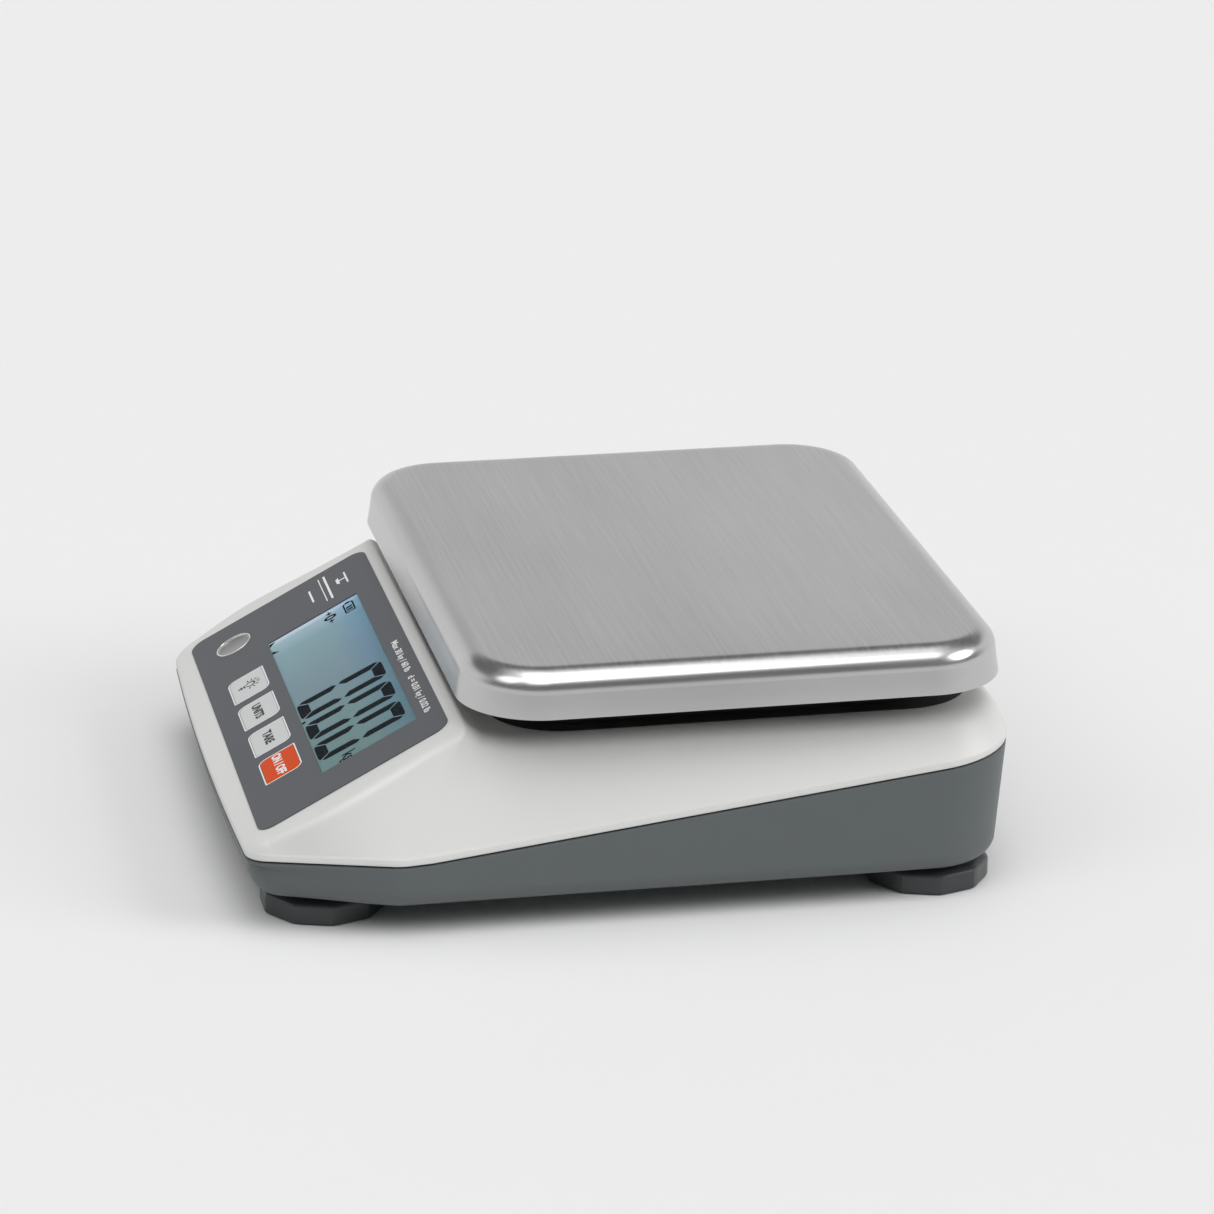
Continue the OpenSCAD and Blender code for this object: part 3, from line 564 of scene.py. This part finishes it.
# Along y: the fold's x, how far its rounding reaches, and how far back it lies from the seam's point
SHOULDER_X = [(-132, 101.3), (-106, 106.6), (-62, 103.0), (0, 103.0), (112, 105.0)]
SETBACK = [(-132, 3.4), (-110, 4.0), (-75, 5.5), (-50, 6.0), (40, 5.0), (95, 4.5), (120, 6.0)]
FOLD_SHIFT = [(-126, 0.0), (-100, 4.0), (-84, 24.0), (-72, 20.0), (0, 0.0), (109, -1.0)]
FRONT_FOLD = (95.0, -132.4, 6.0)            # x of its corners, y and corner radius
BACK_FOLD = (82.0, 109.0, 23.0)
WINDOW = (9.0, 47.0, 132.0, 38.0)           # middle, width and height on the panel
KEY_X = [-30.1 + 26.5 * k for k in range(4)]
KEY_S = 15.55
LEVEL = (-73.4, 15.9)
DECK = (0, 35, 184, 146)                    # middle, width and depth of the deck inside the pan's rim
cover_plastic = grained("cover_plastic", (0.645, 0.645, 0.632), 0.42, scale=1700, depth=0.06, variation=0.02)


def on_panel(x, s, n=0.0):
    """A point in the panel's plane (x right, s up the slope, n out of it) in the row's frame."""
    return (x, PANEL_FOOT[0] + s * math.cos(SLOPE) - n * math.sin(SLOPE),
            PANEL_FOOT[1] + s * math.sin(SLOPE) + n * math.cos(SLOPE))


def top_z(y):
    """Height of the cover's top: the inclined panel, a step down behind it, then flat under the pan."""
    panel = PANEL_FOOT[1] + (y - PANEL_FOOT[0]) * math.tan(SLOPE) - 0.4 / math.cos(SLOPE)
    return min(panel, blend_at([(-59.5, 73.2), (-50, TOP_Z)], y))


def fold_point(x, y, nx, ny):
    """Where the wall above a point of the seam would meet the top, were their edge not rounded."""
    if y < -120 and nx < 0.97:                      # front face and front corners
        fold_x, fold_y, r = FRONT_FOLD
        fold_y += r * (1 + ny)
        fold_x = fold_x * min(1, x / 93.5) + r * nx if nx > 0.02 else x
    elif y > 105 and ny > 0.02:                     # back face and back corners
        fold_x, fold_y, r = BACK_FOLD
        fold_y += r * ny
        fold_x = fold_x + r * nx if ny < 0.999 else x * fold_x / SEAM[2][0]
    else:
        fold_y = y + blend_at(FOLD_SHIFT, y)
        fold_x = blend_at(SHOULDER_X, fold_y)
    return Vector((fold_x, fold_y, top_z(fold_y)))


def wall_path(x, y, a):
    """The cover's outside from its lip up the wall, round the fold and onto the top."""
    nx, ny = math.cos(a), math.sin(a)
    low = Vector((x, y, seam_z(y) + LIP))
    fold = fold_point(x, y, nx, ny)
    rounding = blend_at(SETBACK, fold.y)
    start = fold + (low - fold) * min(0.85, rounding / (low - fold).length)
    end, inner = (Vector((fold.x - nx * reach, fold.y - ny * reach, top_z(fold.y - ny * reach)))
                  for reach in (rounding, rounding + 1.2))
    path = [low.lerp(start, t) for t in (0, 0.03, 0.1, 0.33, 0.66, 0.92, 1)]
    for k in range(1, 10):
        t = k / 9
        path.append(start * (1 - t) ** 2 + fold * 2 * t * (1 - t) + end * t * t)
    return path + [inner]


def rounded(cx, cy, w, h, r, n=8):
    """A rounded rectangle as a loop of (x, y)."""
    loop = []
    for k, (sx, sy) in enumerate(((1, -1), (1, 1), (-1, 1), (-1, -1))):
        for i in range(n + 1):
            a = math.radians(90 * (k - 1) + 90 * i / n)
            loop.append((cx + sx * (w / 2 - r) + r * math.cos(a), cy + sy * (h / 2 - r) + r * math.sin(a)))
    return loop


def disc(x, s, r, n=48):
    return [(x + r * math.cos(2 * math.pi * i / n), s + r * math.sin(2 * math.pi * i / n)) for i in range(n)]


def prism(loop, n0, n1, material):
    """A straight-sided body on the display panel, from height n0 to n1 above it."""
    rings = [[on_panel(x, s, n) for x, s in loop] for n in (n0, n1)]
    return make("prism", *loft(rings, "fan", "fan"), material)


paths = [wall_path(x, y, a) for x, y, a in outline(SEAM, 0.35)]
rings = [seam_ring(inset, z) for inset, z in ((1.6, 0.25), (0.6, 0.25), (0.15, 0.45), (0, 0.9), (0, 1.1),
                                              (0, LIP - 0.7), (0.04, LIP - 0.5))]
for column in zip(*paths):
    half = [tuple(point) for point in column]
    half[0], half[-1] = (0, *half[0][1:]), (0, *half[-1][1:])
    rings.append(mirrored(half))
cover = make("top_cover", *loft(rings, "open", "strips"), cover_plastic)
thicken(cover, COVER_WALL)
apertures = [rounded(*WINDOW[:2], 141, 47, 1)] + [rounded(x, KEY_S, 20.6, 14.3, 0.5) for x in KEY_X]
cut(cover, *[prism(loop, -9, 3, cover_plastic) for loop in [*apertures, disc(*LEVEL, 8.5)]])
opening = [[(x, y, z) for x, y in rounded(*DECK[:2], 179.6, 141.6, 15.8, 12)] for z in (60, 90)]
cut(cover, make("opening", *loft(opening, "fan", "fan"), cover_plastic))
join(cover, *[turned("boss", [(4.3, 40.1), (4.5, 66), (1.6, 66), (1.5, 40.1)], x, y, cover_plastic, 32)
              for x, y in COVER_SCREWS])
finish_mesh(cover, cover_plastic)
place_on(cover, "root", "top_cover", slot="cover_plastic")
paint(zinc, "cover_screws")

# ---------------------------------------------------------------- deck
# Moulded deck that closes the cover under the pan: a tray standing up inside the pan's rim, with four
# openings for the platform's posts, and a thin flange around its foot. Its black is painted shade for the
# shadow under the pan's rim, and the flange is a dark sheet of painted shadow over the cover's top.
DECK_SIDE = [(0, 66), (0, 84.2), (0.25, 85.0), (0.9, 85.7), (1.8, 86), (4, 86), (4, 83.8), (2.2, 83.8),
             (2.2, 66)]                     # (inset, height)
DECK_R = 18
# The flange: a dark sheet of painted shadow lying on the cover's flat top under the pan's rim.
SHADOW_FLANGE = [(35, 180, 142, 16, 68), (39, 197.6, 172.6, 25.8, 68), (39, 198, 173, 26, 68.2),
          (39, 197.4, 172.4, 25.7, 68.4), (35, 180, 142, 16, 68.4)]       # middle, width, depth, corner, height
POSTS = [(x, y) for x in (-75, 75) for y in (-20, 90)]
POST_OPENING_R = 12.5
# Near-black: painted shade standing in for the shadow that the pan's rim casts.
deck_painted_shade = grained("deck_painted_shade", grey(0.012), 0.7, scale=1200, depth=0.1)
cx, cy, width, depth = DECK
rings = [[(x, y, z) for x, y in rounded(cx, cy, width - 2 * inset, depth - 2 * inset, DECK_R - inset, 12)]
         for inset, z in DECK_SIDE]
deck = make("deck", *loft(rings), deck_painted_shade)
rings = [[(x, y, z) for x, y in rounded(cx, cy, width - 7.8, depth - 7.8, 14.1, 12)] for z in (83.8, 86)]
lid = make("deck_lid", *loft(rings, "fan", "fan"), deck_painted_shade)
cut(lid, *[turned("drill", [(POST_OPENING_R, 70), (POST_OPENING_R, 90)], x, y, deck_painted_shade) for x, y in POSTS])
rings = [[(x, y, z) for x, y in rounded(cx, middle, w, h, r, 12)] for middle, w, h, r, z in SHADOW_FLANGE]
join(deck, lid, make("shadow_flange", *loft(rings), deck_painted_shade))
finish_mesh(deck, deck_painted_shade)
place_on(deck, "root", "top_cover", slot="rubber")

# ---------------------------------------------------------------- panel overlay and its printing
# Polyester film stuck to the panel: satin grey with a clear window, key apertures and a hole over
# the spirit level; its printing is plain words, a capacity line and a small balance sign.
OVERLAY = (0, 37.7, 187.6, 75.4, 6, 12)
PRINT = (0.002, 0.05)                       # the printing lies between these heights over the film
overlay_film = grained("overlay_film", (0.072, 0.079, 0.089), 0.42, scale=2200, depth=0.08, variation=0.03,
                       Specular_IOR_Level=0.35)
print_white = grained("print_white", grey(0.8), 0.5, scale=1500, depth=0.03)


def from_curve(name, curve, n0, n1, material):
    """Turns a flat curve or text, in millimetres, into a mesh that lies on the panel."""
    holder = bpy.data.objects.new(name, curve)
    scene.collection.objects.link(holder)
    bpy.context.view_layer.update()
    mesh = bpy.data.meshes.new_from_object(holder.evaluated_get(bpy.context.evaluated_depsgraph_get()))
    bpy.data.objects.remove(holder)
    for v in mesh.vertices:
        v.co = [MM * c for c in on_panel(v.co.x, v.co.y, v.co.z + (n0 + n1) / 2)]
    return finish_mesh(bpy.data.objects.new(name, mesh), material, 30)


def sheet(name, loops, n0, n1, material, bevel=0.0):
    """A flat piece on the panel from closed loops: the first is the outline, loops inside it are holes."""
    curve = bpy.data.curves.new(name, "CURVE")
    curve.dimensions = "2D"
    curve.fill_mode = "BOTH"
    curve.extrude = (n1 - n0) / 2 - bevel
    curve.bevel_depth = bevel
    curve.bevel_resolution = 2
    curve.offset = -bevel
    for loop in loops:
        spline = curve.splines.new("POLY")
        spline.points.add(len(loop) - 1)
        for point, (x, s) in zip(spline.points, loop):
            point.co = (x, s, 0, 1)
        spline.use_cyclic_u = True
    return from_curve(name, curve, n0, n1, material)


def words(name, text, x, s, size, material, n=0.0, width=None, heavy=0.0, body="root", slot="overlay_film"):
    """Printed words, centred on (x, s); size is the height of a capital, width fits the line's length."""
    curve = bpy.data.curves.new(name, "FONT")
    curve.body = text
    curve.align_x = "CENTER"
    curve.align_y = "CENTER"
    curve.size = size / 0.69
    curve.offset = heavy
    curve.extrude = 0.02
    item = from_curve(name, curve, n + 0.005, n + 0.045, material)
    if width:
        xs = [v.co.x / MM for v in item.data.vertices]
        middle, full = (min(xs) + max(xs)) / 2, max(xs) - min(xs)
        for v in item.data.vertices:
            v.co.x = MM * (v.co.x / MM - middle) * width / full
    shift = Vector(on_panel(x, s)) - Vector(on_panel(0, 0))
    item.data.transform(Matrix.Translation(shift * MM))
    place_on(item, body, slot=slot)


def key_loop(x, s, w, h, r=3.0, small=0.35):
    """A key's outline: upper right and lower left corners are round, the others nearly square."""
    loop = []
    for k, (sx, sy, radius) in enumerate(((1, -1, small), (1, 1, r), (-1, 1, small), (-1, -1, r))):
        for i in range(9):
            a = math.radians(90 * (k - 1) + 90 * i / 8)
            loop.append((x + sx * (w / 2 - radius) + radius * math.cos(a),
                         s + sy * (h / 2 - radius) + radius * math.sin(a)))
    return loop


holes = [rounded(*WINDOW, 0.4)] + [key_loop(x, KEY_S, 20.3, 14.0) for x in KEY_X] + [disc(*LEVEL, 7.25)]
overlay = sheet("panel_overlay", [rounded(*OVERLAY), *holes], -0.4, 0, overlay_film, 0.05)
place_on(overlay, "root", "panel_overlay", slot="overlay_film")
for k, x in enumerate(KEY_X):
    loops = [key_loop(x, KEY_S, 21.3, 15.0, 3.5, 0.5), key_loop(x, KEY_S, 20.3, 14.0)]
    place_on(sheet(f"key_border_{k}", loops, *PRINT, print_white), "root", slot="overlay_film")
words("capacity_line", "Max 30 kg / 60 lb    d = 0.01 kg / 0.02 lb", 38.7, 70.4, 2.5, print_white, width=71.5,
      heavy=0.06)
balance_sign = [[(-79.6, 62.0), (-73.6, 62.0), (-74.6, 60.8), (-78.6, 60.8)],           # foot, post and beam
                [(-77.0, 62.0), (-76.2, 62.0), (-76.2, 64.6), (-77.0, 64.6)],
                [(-82.0, 64.6), (-71.2, 64.6), (-71.2, 65.3), (-82.0, 65.3)]]
place_on(sheet("balance_sign", balance_sign, *PRINT, print_white), "root", slot="overlay_film")
rules = [rounded(-76.4, 57.2, 24, 0.9, 0.4, 4), rounded(-76.4, 54.9, 24, 0.4, 0.19, 4),
         rounded(-76.4, 50.0, 12, 0.8, 0.39, 4)]
place_on(sheet("printed_rules", rules, *PRINT, print_white), "root", slot="overlay_film")

# ---------------------------------------------------------------- keys
# Three pale grey keys and the orange power key: film caps crowned by a quarter of a millimetre,
# each on a moulded stem over its snap dome, with its word or sign printed on it.
KEY_W, KEY_H = 20, 13.7
KEY_CAP = [(0.1, -1.4), (0.0, -1.2), (0.0, 0.02), (0.12, 0.1), (0.5, 0.17), (1.4, 0.22), (3.0, 0.25)]
CROWN = 0.25
WORD_S, WORD_SIZE = 15.1, 3.3
key_grey = grained("key_grey", (0.56, 0.58, 0.575), 0.42, scale=2200, depth=0.06, variation=0.02)
key_orange = grained("key_orange", (0.62, 0.062, 0.004), 0.5, scale=2200, depth=0.06, variation=0.03,
                     Specular_IOR_Level=0.15)
print_black = grained("print_black", (0.012, 0.012, 0.014), 0.45, scale=1500, depth=0.03)
for x, key, film, slot in zip(KEY_X, ("key_light", "key_units", "key_tare", "key_power"),
                              (key_grey, key_grey, key_grey, key_orange),
                              ("key_grey", "key_grey", "key_grey", "key_orange")):
    rings = []
    for inset, n in KEY_CAP:
        loop = key_loop(x, KEY_S, KEY_W - 2 * inset, KEY_H - 2 * inset, max(0.6, 3 - inset),
                        max(0.2, 0.4 - inset * 0.1))
        rings.append([on_panel(px, ps, n) for px, ps in loop])
    cap = make(key, *loft(rings, "fan", "fan"), film, 50)
    join(cap, prism(rounded(x, KEY_S, 9, 8, 1), -3.45, -1.4, film))
    finish_mesh(cap, film, 50)
    place_on(cap, key, key, slot=slot)
words("key_units_word", "UNITS", KEY_X[1], WORD_S, WORD_SIZE, print_black, CROWN, 12.6, 0.2, "key_units",
      "key_grey")
words("key_tare_word", "TARE", KEY_X[2], WORD_S, WORD_SIZE, print_black, CROWN, 11.2, 0.2, "key_tare",
      "key_grey")
words("key_power_word", "ON / OFF", KEY_X[3], WORD_S, WORD_SIZE, print_white, CROWN, 17.8, 0.18, "key_power",
      "key_orange")

# The light key's sign is a bulb with its cap and eight rays.
bulb_x, bulb_s, bulb_r = KEY_X[0], 16.4, 2.0
bulb = [(bulb_x + bulb_r * math.cos(a), bulb_s + bulb_r * math.sin(a))
        for a in [math.radians(-62 + 304 * i / 24) for i in range(25)]]
bulb += [(bulb_x - 0.9, 13.4), (bulb_x + 0.9, 13.4)]
hollow = [(bulb_x + (px - bulb_x) * 0.66, 15.9 + (ps - 15.9) * 0.72) for px, ps in bulb]
bulb_sign = [bulb, hollow, rounded(bulb_x, 12.6, 1.9, 0.9, 0.2, 3), rounded(bulb_x, 11.6, 1.2, 0.6, 0.2, 3)]
for i in range(8):
    a = math.radians(-12 + 204 * i / 7)
    bulb_sign.append([(bulb_x + r * math.cos(a) - w * math.sin(a), bulb_s + r * math.sin(a) + w * math.cos(a))
                      for r, w in ((2.6, -0.22), (4.0, -0.22), (4.0, 0.22), (2.6, 0.22))])
place_on(sheet("key_light_sign", bulb_sign, 0.255, 0.295, print_black), "key_light", slot="key_grey")

# ---------------------------------------------------------------- display
# Liquid crystal display under the overlay's clear window: a blue-green glass with dark segments
# reading zero, the unit, a battery sign and the zero sign.
# Painted light on the glass: a painted highlight at its left edge, then painted shading darker to the right.
PAINTED_LIGHT_LEFT_TO_RIGHT = [(0, (0.7, 0.82, 0.92)), (0.03, (0.32, 0.47, 0.55)), (0.12, (0.21, 0.35, 0.4)),
                 (0.45, (0.165, 0.26, 0.31)), (0.7, (0.145, 0.26, 0.275)), (1, (0.12, 0.22, 0.225))]
# Painted shade along the glass's top edge, darker and bluer; only the slow cloud is the glass's own tone.
PAINTED_SHADE_UP_THE_SLOPE = [(0, (1, 1, 1)), (0.6, (1, 1, 1)), (0.88, (0.72, 0.86, 1.05)), (1, (0.5, 0.72, 0.85))]
DIGIT_X, DIGIT_PITCH, DIGIT_W = 9.25, 20.3, 16.1
DIGIT_TOP, DIGIT_LOW, DIGIT_MID = 63.2, 28.6, 45.4
STROKE = 4.3
LEAN = 1.75 / 35                            # the digits lean to the right
GLASS_LOW = 28.05                           # nothing prints below the window's edge
INK = (-0.495, -0.47)
display_glass, tree, shader = principled("display_glass", (0.25, 0.37, 0.4), 0.35, Specular_IOR_Level=0.25)
place = object_place(tree)
spot = add(tree, "SeparateXYZ", [("Vector", place)])
painted_light_across = ramp(tree, spread(tree, spot.outputs["X"], -0.057, 0.075), PAINTED_LIGHT_LEFT_TO_RIGHT)
painted_shade_upwards = ramp(tree, spread(tree, spot.outputs["Y"], -0.105, -0.0715), PAINTED_SHADE_UP_THE_SLOPE)
mixed = add(tree, "VectorMath", [(0, painted_light_across), (1, painted_shade_upwards)], operation="MULTIPLY")
cloud = spread(tree, noise(tree, place, 24.0), 0, 1, 0.93, 1.07)
toned = add(tree, "VectorMath", [(0, mixed.outputs["Vector"]), (1, cloud)], operation="MULTIPLY")
tree.links.new(toned.outputs["Vector"], shader.inputs["Base Color"])
paint(display_glass, "display_glass")
ink = grained("display_ink", (0.005, 0.009, 0.013), 0.5, scale=900, depth=0.02, Specular_IOR_Level=0.03)


def segment(points):
    """A segment's outline, leaning to the right and cut off at the window's edge."""
    return [(x + (s - 46) * LEAN, max(GLASS_LOW, s)) for x, s in points]


segments = []
for k in range(3):
    left = DIGIT_X + DIGIT_PITCH * k
    right = left + DIGIT_W
    for end, up in ((DIGIT_TOP, 1), (DIGIT_LOW, -1)):
        inner = end - up * (STROKE + 0.1)
        segments.append(segment([(left + 3.4, end), (right - 3.4, end), (right - 1.6, end - up * 0.5),
                                 (right - STROKE - 0.2, inner), (left + STROKE + 0.2, inner),
                                 (left + 1.6, end - up * 0.5)]))
        for side, d in ((left, 1), (right, -1)):
            stroke_x = side + d * (STROKE - 0.2)
            segments.append(segment([(side + d, end - up * 1.1), (side, end - up * 2.6),
                                     (side, DIGIT_MID + up * 2.0), (side + d * 1.4, DIGIT_MID + up * 0.4),
                                     (stroke_x, DIGIT_MID + up * 3.0),
                                     (stroke_x, end - up * (STROKE + 0.5))]))
segments.append([(x, max(GLASS_LOW, s)) for x, s in disc(26.3, 28.8, 0.9, 16)])         # the point
segments += [[(-56.3, 30.9), (-53.2, 28.1), (-56.1, 28.1)], [(-45.7, 30.9), (-45.9, 28.1), (-48.6, 28.1)]]

battery_sign = [rounded(-49.6, 61.2, 9.2, 4.4, 0.8, 4), rounded(-49.6, 61.2, 7.9, 3.1, 0.4, 4),
                rounded(-54.6, 61.2, 0.8, 1.9, 0.2, 2)]
battery_sign += [[(x, 59.9), (x + 1.4, 59.9), (x + 1.0, 62.5), (x - 0.4, 62.5)] for x in (-50.4, -48.2, -46.0)]
full_turn = [math.pi * i / 12 for i in range(24)]
zero_sign = [[(-49.8 + 1.7 * w * math.cos(a), 53.2 + 2.5 * h * math.sin(a)) for a in full_turn]
             for w, h in ((1.1, 1.05), (0.42, 0.6))]
for tail, d in ((-55.6, 1), (-44.0, -1)):                     # an arrow from each side
    neck, tip = tail + d * 1.6, tail + d * 3.4
    zero_sign.append([(tail, 53.0), (neck, 53.0), (neck, 51.9), (tip, 53.2), (neck, 54.5), (neck, 53.4),
                      (tail, 53.4)])
for name, loops in (("digits", segments), ("battery_sign", battery_sign), ("zero_sign", zero_sign)):
    place_on(sheet(name, loops, *INK, ink), "root", slot="display")
words("unit_sign", "kg", 72.2, 39.0, 5.2, ink, -0.5, heavy=0.1, slot="display")

window_film, tree, shader = principled("window_film", (0.01, 0.015, 0.02), 0.12, Alpha=0.02,
                                       Specular_IOR_Level=0.05)
dull = spread(tree, noise(tree, object_place(tree), 900.0), 0, 1, 0.08, 0.16)
tree.links.new(dull, shader.inputs["Roughness"])
paint(window_film, "display_window")

# ---------------------------------------------------------------- spirit level
# Round bubble level let into the panel: pale cup, clear liquid with its bubble, a lens and a thin
# polished ring.
LEVEL_RING = [(6.7, -0.4), (7.15, -0.4), (7.2, 0.1), (7.1, 0.22), (6.95, 0.25), (6.8, 0.22), (6.7, 0.0),
              (6.7, -0.4)]
level_white = grained("level_white", (0.34, 0.34, 0.33), 0.4, scale=900, depth=0.04)
level_liquid = grained("level_liquid", (0.3, 0.3, 0.29), 0.12, scale=60, depth=0.01, variation=0.2)
polished = grained("polished_ring", grey(0.78), 0.2, scale=900, depth=0.02, Metallic=0.6)
level_lens, tree, shader = principled("level_lens", grey(0.2), 0.25, Alpha=0.9)
place = object_place(tree)
spot = add(tree, "SeparateXYZ", [("Vector", place)])
# Painted shading on the lens: darker at its left edge, lighter towards its right.
painted_lens_shading = ramp(tree, spread(tree, spot.outputs["X"], -0.0806, -0.0662),
             [(0, grey(0.11)), (0.3, grey(0.17)), (1, grey(0.34))])
tree.links.new(painted_lens_shading, shader.inputs["Base Color"])
tree.links.new(spread(tree, noise(tree, place, 700.0), 0, 1, 0.2, 0.3), shader.inputs["Roughness"])
paint(level_white, "level_housing")
paint(level_liquid, "level_fluid")
paint(level_lens, "level_lens")
rings = [[on_panel(x, s, n) for x, s in disc(*LEVEL, r, 64)] for r, n in LEVEL_RING]
place_on(make("level_ring", *loft(rings), polished, 50), "root", "level_ring", slot="plate")

# ---------------------------------------------------------------- weighing pan
# Deep-drawn stainless steel pan, brushed from left to right: flat top, rolled fold, rim leaning
# out a little, four locating tubes spot-welded underneath.
PAN = (0.0, 35.0, 240.0, 190.0, 28.0)       # middle, width, depth and corner radius at the fold
FOLD, SHEET = 7.6, 1.2
FOLD_Z, PAN_TOP = 89.9, 97.5
SKIRT = [(1.3, 81.15), (1.25, 81.6), (0.62, 85.5), (0.05, 89.6)]      # (out, height)
HEM = [(-0.15, 81.4), (-0.05, 81.05), (0.3, 81.0), (1.0, 81.0)]
STREAKS = ((20, 900, 900), (900, 20, 900))  # long one way, fine across: on the top, and on the ends
pan_steel, tree, shader = principled("pan_steel", grey(0.62), 0.3, Metallic=1.0, Anisotropic=0.55)


def mapped(tree, place, scale):
    """The place, stretched by a scale for each axis."""
    stretch = add(tree, "Mapping", [("Vector", place)])
    stretch.inputs["Scale"].default_value = scale
    return stretch.outputs["Vector"]


# Brushed lines: along x on the top, around the rim on the sides, and fainter over the fold
lines_tree, lines_in, lines_out = node_group(
    "brushed_lines", [("Depth", "NodeSocketFloat", 0.1), ("Gloss", "NodeSocketFloat", 0.3)],
    [("Normal", "NodeSocketVector"), ("Roughness", "NodeSocketFloat"), ("Tone", "NodeSocketFloat")])
place = object_place(lines_tree)
facing = add(lines_tree, "SeparateXYZ", [("Vector", add(lines_tree, "NewGeometry").outputs["Normal"])])
sideways = add(lines_tree, "Math", [(0, facing.outputs["X"])], operation="ABSOLUTE").outputs[0]
on_end = spread(lines_tree, sideways, 0.6, 0.8)
streaks = [noise(lines_tree, mapped(lines_tree, place, scale), 1.0, 3.0) for scale in STREAKS]
streak = add(lines_tree, "Mix", [("Factor", on_end), (2, streaks[0]), (3, streaks[1])]).outputs[0]
bump = add(lines_tree, "Bump", [("Height", streak), ("Strength", lines_in.outputs["Depth"])], Distance=0.00002)
rough = maths(lines_tree, "ADD", spread(lines_tree, streak, 0.3, 0.7, -0.02, 0.02), lines_in.outputs["Gloss"])
flat = spread(lines_tree, facing.outputs["Z"], 0.8, 0.99, 0.25, 1.0)
drift = spread(lines_tree, noise(lines_tree, mapped(lines_tree, place, (6, 14, 6)), 1.0), 0.3, 0.7, 0.93, 1.07)
tone = maths(lines_tree, "MULTIPLY", spread(lines_tree, streak, 0.3, 0.7, -0.09, 0.09), flat)
for label, source in (("Normal", bump.outputs["Normal"]), ("Roughness", rough),
                      ("Tone", maths(lines_tree, "ADD", tone, drift))):
    lines_tree.links.new(source, lines_out.inputs[label])

group = tree.nodes.new("ShaderNodeGroup")
group.node_tree = lines_tree
group.inputs["Depth"].default_value = 0.015
group.inputs["Gloss"].default_value = 0.24
steel_tone = add(tree, "VectorMath", [(1, group.outputs["Tone"])], operation="MULTIPLY")
steel_tone.inputs[0].default_value = grey(0.55)
tree.links.new(steel_tone.outputs["Vector"], shader.inputs["Base Color"])
tree.links.new(group.outputs["Normal"], shader.inputs["Normal"])
tree.links.new(group.outputs["Roughness"], shader.inputs["Roughness"])
tangent = add(tree, "Tangent", direction_type="UV_MAP", uv_map="brushing")
tree.links.new(tangent.outputs["Tangent"], shader.inputs["Tangent"])


def pan_ring(out, z):
    cx, cy, width, depth, corner = PAN
    return [(x, y, z) for x, y in rounded(cx, cy, width + 2 * out, depth + 2 * out, corner + out, 20)]


def fold_arc(r, steps):
    """The rolled fold's quarter circle, as (out, height) pairs from the skirt up to the top."""
    quarter = [math.pi / 2 * k / steps for k in range(steps + 1)]
    return [(r * math.cos(a) - FOLD, FOLD_Z + r * math.sin(a)) for a in quarter]


outside = SKIRT + fold_arc(FOLD, 12) + [(-FOLD - 1.5, PAN_TOP), (-FOLD - 10, PAN_TOP)]
inside = [(-FOLD - 10, PAN_TOP - SHEET), (-FOLD, PAN_TOP - SHEET)] + fold_arc(FOLD - SHEET, 6)[-2::-1] + HEM
rings = [pan_ring(out, z) for out, z in inside + outside]
pan = make("weighing_pan", *loft(rings, "fan", "fan"), pan_steel, 40)
layer = pan.data.uv_layers.new(name="brushing")
for loop in pan.data.loops:
    x, y, z = pan.data.vertices[loop.vertex_index].co
    layer.data[loop.index].uv = (x * 4, y * 4 - z * 4)
place_on(pan, "pan", "weighing_pan", slot="pan_steel")
paint(bracket_steel, "pan_locators")
